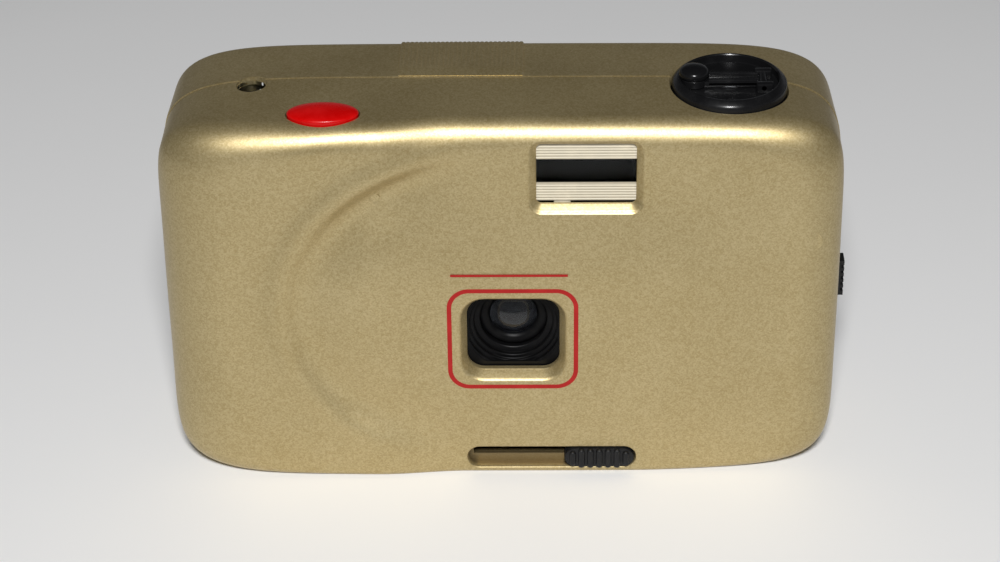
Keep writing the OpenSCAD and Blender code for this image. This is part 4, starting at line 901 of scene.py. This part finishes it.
def build_button(s):
    """Oval red button with a low dome, its flange and its stem."""
    x, y, r, squash = s.button_x, s.button_y, s.button_w / 2, s.button_d / s.button_w
    brim = s.body_h - 0.45
    rings = [round_z(x, y, s.cap_z, r, 96, squash)]
    for share, rise in ((1, 0.0), (1, 0.1), (0.985, 0.24), (0.955, 0.36), (0.9, 0.47), (0.8, 0.59),
                        (0.65, 0.7), (0.45, 0.78), (0.22, 0.82), (0, 0.84)):
        rings.append(round_z(x, y, brim + rise, r * share, 96, squash))
    parts = [loft(rings),
             soft_block((x - 7.6, y - 1.4, s.flange_z), (x + 7.6, y + 2.4, s.flange_z + 1.1), 0.15),
             turned_z(x, y, [(1.2, s.stem_z), (1.4, s.stem_z + 0.2), (1.4, s.cap_z + 0.2)], 32)]
    stands_for(solid("red_button", parts, "red_plastic", 45), "button", "red_plastic",
               "shutter_button")


def build_crank(s):
    """Rewind crank: dished disc with its ears, folding handle and knob, all black."""
    x, y, top, low = s.cassette_x, s.cassette_y, s.body_h + 1.1, s.handle_z - 0.1
    r, foot, pivot, knob = s.crank_r, s.body_h - 2.6, s.cassette_x + 5.6, s.cassette_x - 6
    disc = [(2.02, foot), (r, foot), (r, top - 1.15), (r - 0.08, top - 0.9), (r - 0.3, top - 0.62),
            (r - 0.75, top - 0.22), (r - 0.95, top - 0.08), (r - 1.15, top), (r - 1.35, top - 0.04),
            (r - 1.45, top - 0.2), (r - 1.5, low + 0.15), (r - 1.7, low + 0.02), (4.3, low),
            (4.15, low + 0.03), (2.02, low + 0.03)]
    parts = [turned_z(x, y, disc, 128, closed=True)]
    for mid in (y - 2.45, y + 2.45):
        parts.append(soft_block((pivot - 1.3, mid - 0.7, low - 0.3),
                                (pivot + 1.6, mid + 0.7, low + 1.6), 0.25))
    parts.append(turned_z(x + 0.2, y - 6.3, [(0.9, low - 0.2), (0.9, low + 0.3), (0.6, low + 0.45),
                                            (0, low + 0.45)], 24))
    stands_for(solid("crank_disc", parts, "gloss_black", 28), "rewind", "black_plastic", "rewind_disc")
    z0, z1, half_w, pin_r = s.handle_z, s.handle_z + 1.5, 1.5, 0.75
    arm = [soft_block((knob, y - half_w, z0), (pivot, y + half_w, z1 - 0.45), 0.18)]
    for near, far in ((-half_w, -0.95), (0.95, half_w)):
        arm.append(soft_block((knob + 2.3, y + near, z0 + 0.4), (pivot - 0.7, y + far, z1), 0.16))
    arm += [turned_z(knob, y, [(2.1, z0), (2.3, z0 + 0.2), (2.3, z1 - 0.2), (2.1, z1)], 48),
            turned_y(pivot, z0 + pin_r, [(pin_r, y - half_w), (pin_r, y + half_w)], 24)]
    stands_for(solid("folding_handle", arm, "gloss_black", 40), "handle", "black_plastic",
               "crank_handle")
    cap = [(0.0, z1), (2.3, z1), (2.5, z1 + 0.2), (2.52, z1 + 0.75), (2.4, z1 + 1.15), (2.1, z1 + 1.45),
           (1.5, z1 + 1.68), (0.8, z1 + 1.78), (0.0, z1 + 1.8)]
    stands_for(solid("handle_knob", [turned_z(knob, y, cap, 64)], "gloss_black", 50), "handle",
               "black_plastic", "crank_knob")


def build_counter_marks(s):
    """Pale marks around the counter's dial, every fifth one longer."""
    marks, low, high = 40, s.dial_z + 0.98, s.dial_z + 1.04
    parts = []
    for k in range(marks):
        turn = Matrix.Rotation(2 * math.pi * k / marks, 3, "Z")
        near = 5.4 if k % 5 == 0 else 6.2
        points, faces = block((near, -0.09, low), (7.2, 0.09, high))
        moved = [turn @ Vector(p) + Vector((s.dial_x, s.counter_y, 0)) for p in points]
        parts.append((moved, faces))
    stands_for(solid("counter_marks", parts, "pale_print"), "counter", "cream_plastic")


NODE_PAINTS = {
    "black_plastic": ("chassis", "film_mask_upper", "film_mask_lower", "thumbwheel", "take_up_spool",
                      "film_sprocket", "door_latch"),
    "lens_black": ("lens_barrel", "viewfinder_housing", "frame_counter_dial"),
    "gloss_black": ("pressure_plate", "rewind_release_button"),
    "dark_steel": ("aperture_plate", "shutter_plate", "shutter_blade", "cam_plate"),
    "steel": ("blade_spring", "striker_lever", "striker_spring", "release_lever", "button_spring",
              "ratchet_pawl", "rewind_fork", "crank_pin", "door_hinge_pin", "pressure_spring",
              "latch_spring", "release_button_spring", "counter_screw", "chassis_screws",
              "shutter_screws"),
    "clear_glass": ("viewfinder_front_lens", "viewfinder_eyepiece", "counter_window", "film_window"),
}


def paint_nodes():
    """Procedural materials for the CAD nodes that stay in view."""
    painted = set()
    for paint, names in NODE_PAINTS.items():
        for name in names:
            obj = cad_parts[name]
            obj.data.materials.clear()
            obj.data.materials.append(material(paint))
        painted.update(names)
    left = [n for n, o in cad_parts.items() if n not in painted and not o.hide_render]
    if left:
        raise RuntimeError(f"no material for {left}")


def lay_board():
    """White board under the camera, as a grid of squares."""
    half, level, n = 2600.0, -0.05, 24
    row = n + 1
    points = [(-half + 2 * half * i / n, -half + 2 * half * j / n, level)
              for j in range(row) for i in range(row)]
    faces = [(j * row + i, j * row + i + 1, (j + 1) * row + i + 1, (j + 1) * row + i)
             for j in range(n) for i in range(n)]
    board = solid("white_board", [(points, faces)], "floor_board")


def set_view(context):
    """View of the photograph. Returns its place and the directions up and ahead of it."""
    tilt, turn, roll = (math.radians(v) for v in (31.580, -1.067, -0.725))
    middle, distance = Vector((-0.4735, 1.65, 28.8095)), 503.077
    ahead = Vector((math.sin(turn) * math.cos(tilt), math.cos(turn) * math.cos(tilt),
                    -math.sin(tilt)))
    level = Vector((math.cos(turn), -math.sin(turn), 0))
    rise = level.cross(ahead)
    right = level * math.cos(roll) + rise * math.sin(roll)
    up = rise * math.cos(roll) - level * math.sin(roll)
    place = middle * MM - ahead * distance * MM
    data = bpy.data.cameras.new("view")
    data.sensor_width = 36
    data.lens = 102.6
    data.clip_start = 0.01
    view = bpy.data.objects.new("view", data)
    turned = Matrix((right, up, -ahead)).transposed()
    view.matrix_world = Matrix.Translation(place) @ turned.to_4x4()
    context.scene.collection.objects.link(view)
    context.scene.camera = view
    return place, up, ahead


def hang_lamp(context, place, up, ahead):
    """Soft spot lamp above and behind the view's place, aimed at the camera."""
    data = bpy.data.lights.new("flash", "SPOT")
    data.spot_size = math.radians(62)
    data.spot_blend = 1.0
    data.shadow_soft_size = 0.09
    data.energy = context.scene.pano_look.lamp
    lamp = bpy.data.objects.new("flash", data)
    spot = place + up * 0.2 - ahead * 0.4
    aim = (-ahead + up * 0.15).to_track_quat("Z", "Y")
    lamp.matrix_world = Matrix.Translation(spot) @ aim.to_matrix().to_4x4()
    context.scene.collection.objects.link(lamp)


def light_room(context):
    """Surroundings that are pale at the horizon and dim overhead."""
    world = bpy.data.worlds.new("room")
    context.scene.world = world
    world.use_nodes = True
    room = Nodes(world.node_tree, "Background")
    direction = room.node("ShaderNodeTexCoord", output="Generated")
    height = room.node("ShaderNodeSeparateXYZ", None, {0: direction}, output="Z")
    light = room.band(height, 0.0, 0.5, 0.75, 0.03)
    room.link(room.mix(light, (0, 0, 0), (0.93, 0.95, 1.0)), "Color")
    room.base.inputs["Strength"].default_value = context.scene.pano_look.sky


def build_stage(context):
    """White board, the view of the photograph, a lamp over the camera and dim surroundings."""
    lay_board()
    hang_lamp(context, *set_view(context))
    light_room(context)
    context.scene.view_settings.view_transform = "Standard"


# Add-on


class PANO_OT_front_cover(bpy.types.Operator):
    """Models the gold front cover with its windows, slot and holes"""

    bl_idname = "pano.front_cover"
    bl_label = "Front cover"
    bl_options = {"REGISTER", "UNDO"}

    def execute(self, context):
        build_front_cover(millimetres(context))
        return {"FINISHED"}


class PANO_OT_door(bpy.types.Operator):
    """Models the gold back door with its thumb ribs, windows and hinge"""

    bl_idname = "pano.door"
    bl_label = "Back door"
    bl_options = {"REGISTER", "UNDO"}

    def execute(self, context):
        build_door(millimetres(context))
        return {"FINISHED"}


class PANO_OT_prints(bpy.types.Operator):
    """Prints the red frame and line on the front"""

    bl_idname = "pano.prints"
    bl_label = "Red prints"
    bl_options = {"REGISTER", "UNDO"}

    def execute(self, context):
        build_prints(millimetres(context))
        return {"FINISHED"}


class PANO_OT_lens(bpy.types.Operator):
    """Models the stepped shroud, the ring and the domed lens"""

    bl_idname = "pano.lens"
    bl_label = "Lens"
    bl_options = {"REGISTER", "UNDO"}

    def execute(self, context):
        build_lens(millimetres(context))
        return {"FINISHED"}


class PANO_OT_viewfinder(bpy.types.Operator):
    """Models the ribbed blinds of the viewfinder"""

    bl_idname = "pano.viewfinder"
    bl_label = "Viewfinder blinds"
    bl_options = {"REGISTER", "UNDO"}

    def execute(self, context):
        build_viewfinder(millimetres(context))
        return {"FINISHED"}


class PANO_OT_controls(bpy.types.Operator):
    """Models the switch's knob, the red button, the rewind crank and the counter's marks"""

    bl_idname = "pano.controls"
    bl_label = "Controls"
    bl_options = {"REGISTER", "UNDO"}

    def execute(self, context):
        sizes = millimetres(context)
        build_switch(sizes)
        build_button(sizes)
        build_crank(sizes)
        build_counter_marks(sizes)
        return {"FINISHED"}


class PANO_OT_paint(bpy.types.Operator):
    """Gives each CAD node that stays in view its material"""

    bl_idname = "pano.paint"
    bl_label = "Paint the CAD nodes"
    bl_options = {"REGISTER", "UNDO"}

    def execute(self, context):
        paint_nodes()
        return {"FINISHED"}


class PANO_OT_stage(bpy.types.Operator):
    """Sets up the white board, the lamp, the surroundings and the view"""

    bl_idname = "pano.stage"
    bl_label = "Stage"
    bl_options = {"REGISTER", "UNDO"}

    def execute(self, context):
        build_stage(context)
        return {"FINISHED"}


STEPS = (PANO_OT_front_cover, PANO_OT_door, PANO_OT_prints, PANO_OT_lens, PANO_OT_viewfinder,
         PANO_OT_controls, PANO_OT_paint, PANO_OT_stage)


class PANO_PT_panel(bpy.types.Panel):
    """Sidebar panel with every step and property"""

    bl_idname = "PANO_PT_panel"
    bl_label = "Panoramic camera"
    bl_space_type = "VIEW_3D"
    bl_region_type = "UI"
    bl_category = "Camera"

    def draw(self, context):
        for step in STEPS:
            self.layout.operator(step.bl_idname)
        for group, names in ((context.scene.pano_sizes, PANO_PG_sizes.__annotations__),
                             (context.scene.pano_look, PANO_PG_look.__annotations__)):
            box = self.layout.box()
            for name in names:
                box.prop(group, name)


CLASSES = (PANO_PG_sizes, PANO_PG_look) + STEPS + (PANO_PT_panel,)


def register():
    for cls in CLASSES:
        bpy.utils.register_class(cls)
    bpy.types.Scene.pano_sizes = PointerProperty(type=PANO_PG_sizes)
    bpy.types.Scene.pano_look = PointerProperty(type=PANO_PG_look)


def unregister():
    del bpy.types.Scene.pano_look
    del bpy.types.Scene.pano_sizes
    for cls in reversed(CLASSES):
        bpy.utils.unregister_class(cls)


def main():
    """Registers the add-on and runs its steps."""
    register()
    for step in STEPS:
        group, name = step.bl_idname.split(".")
        getattr(getattr(bpy.ops, group), name)()


if __name__ == "__main__":
    main()
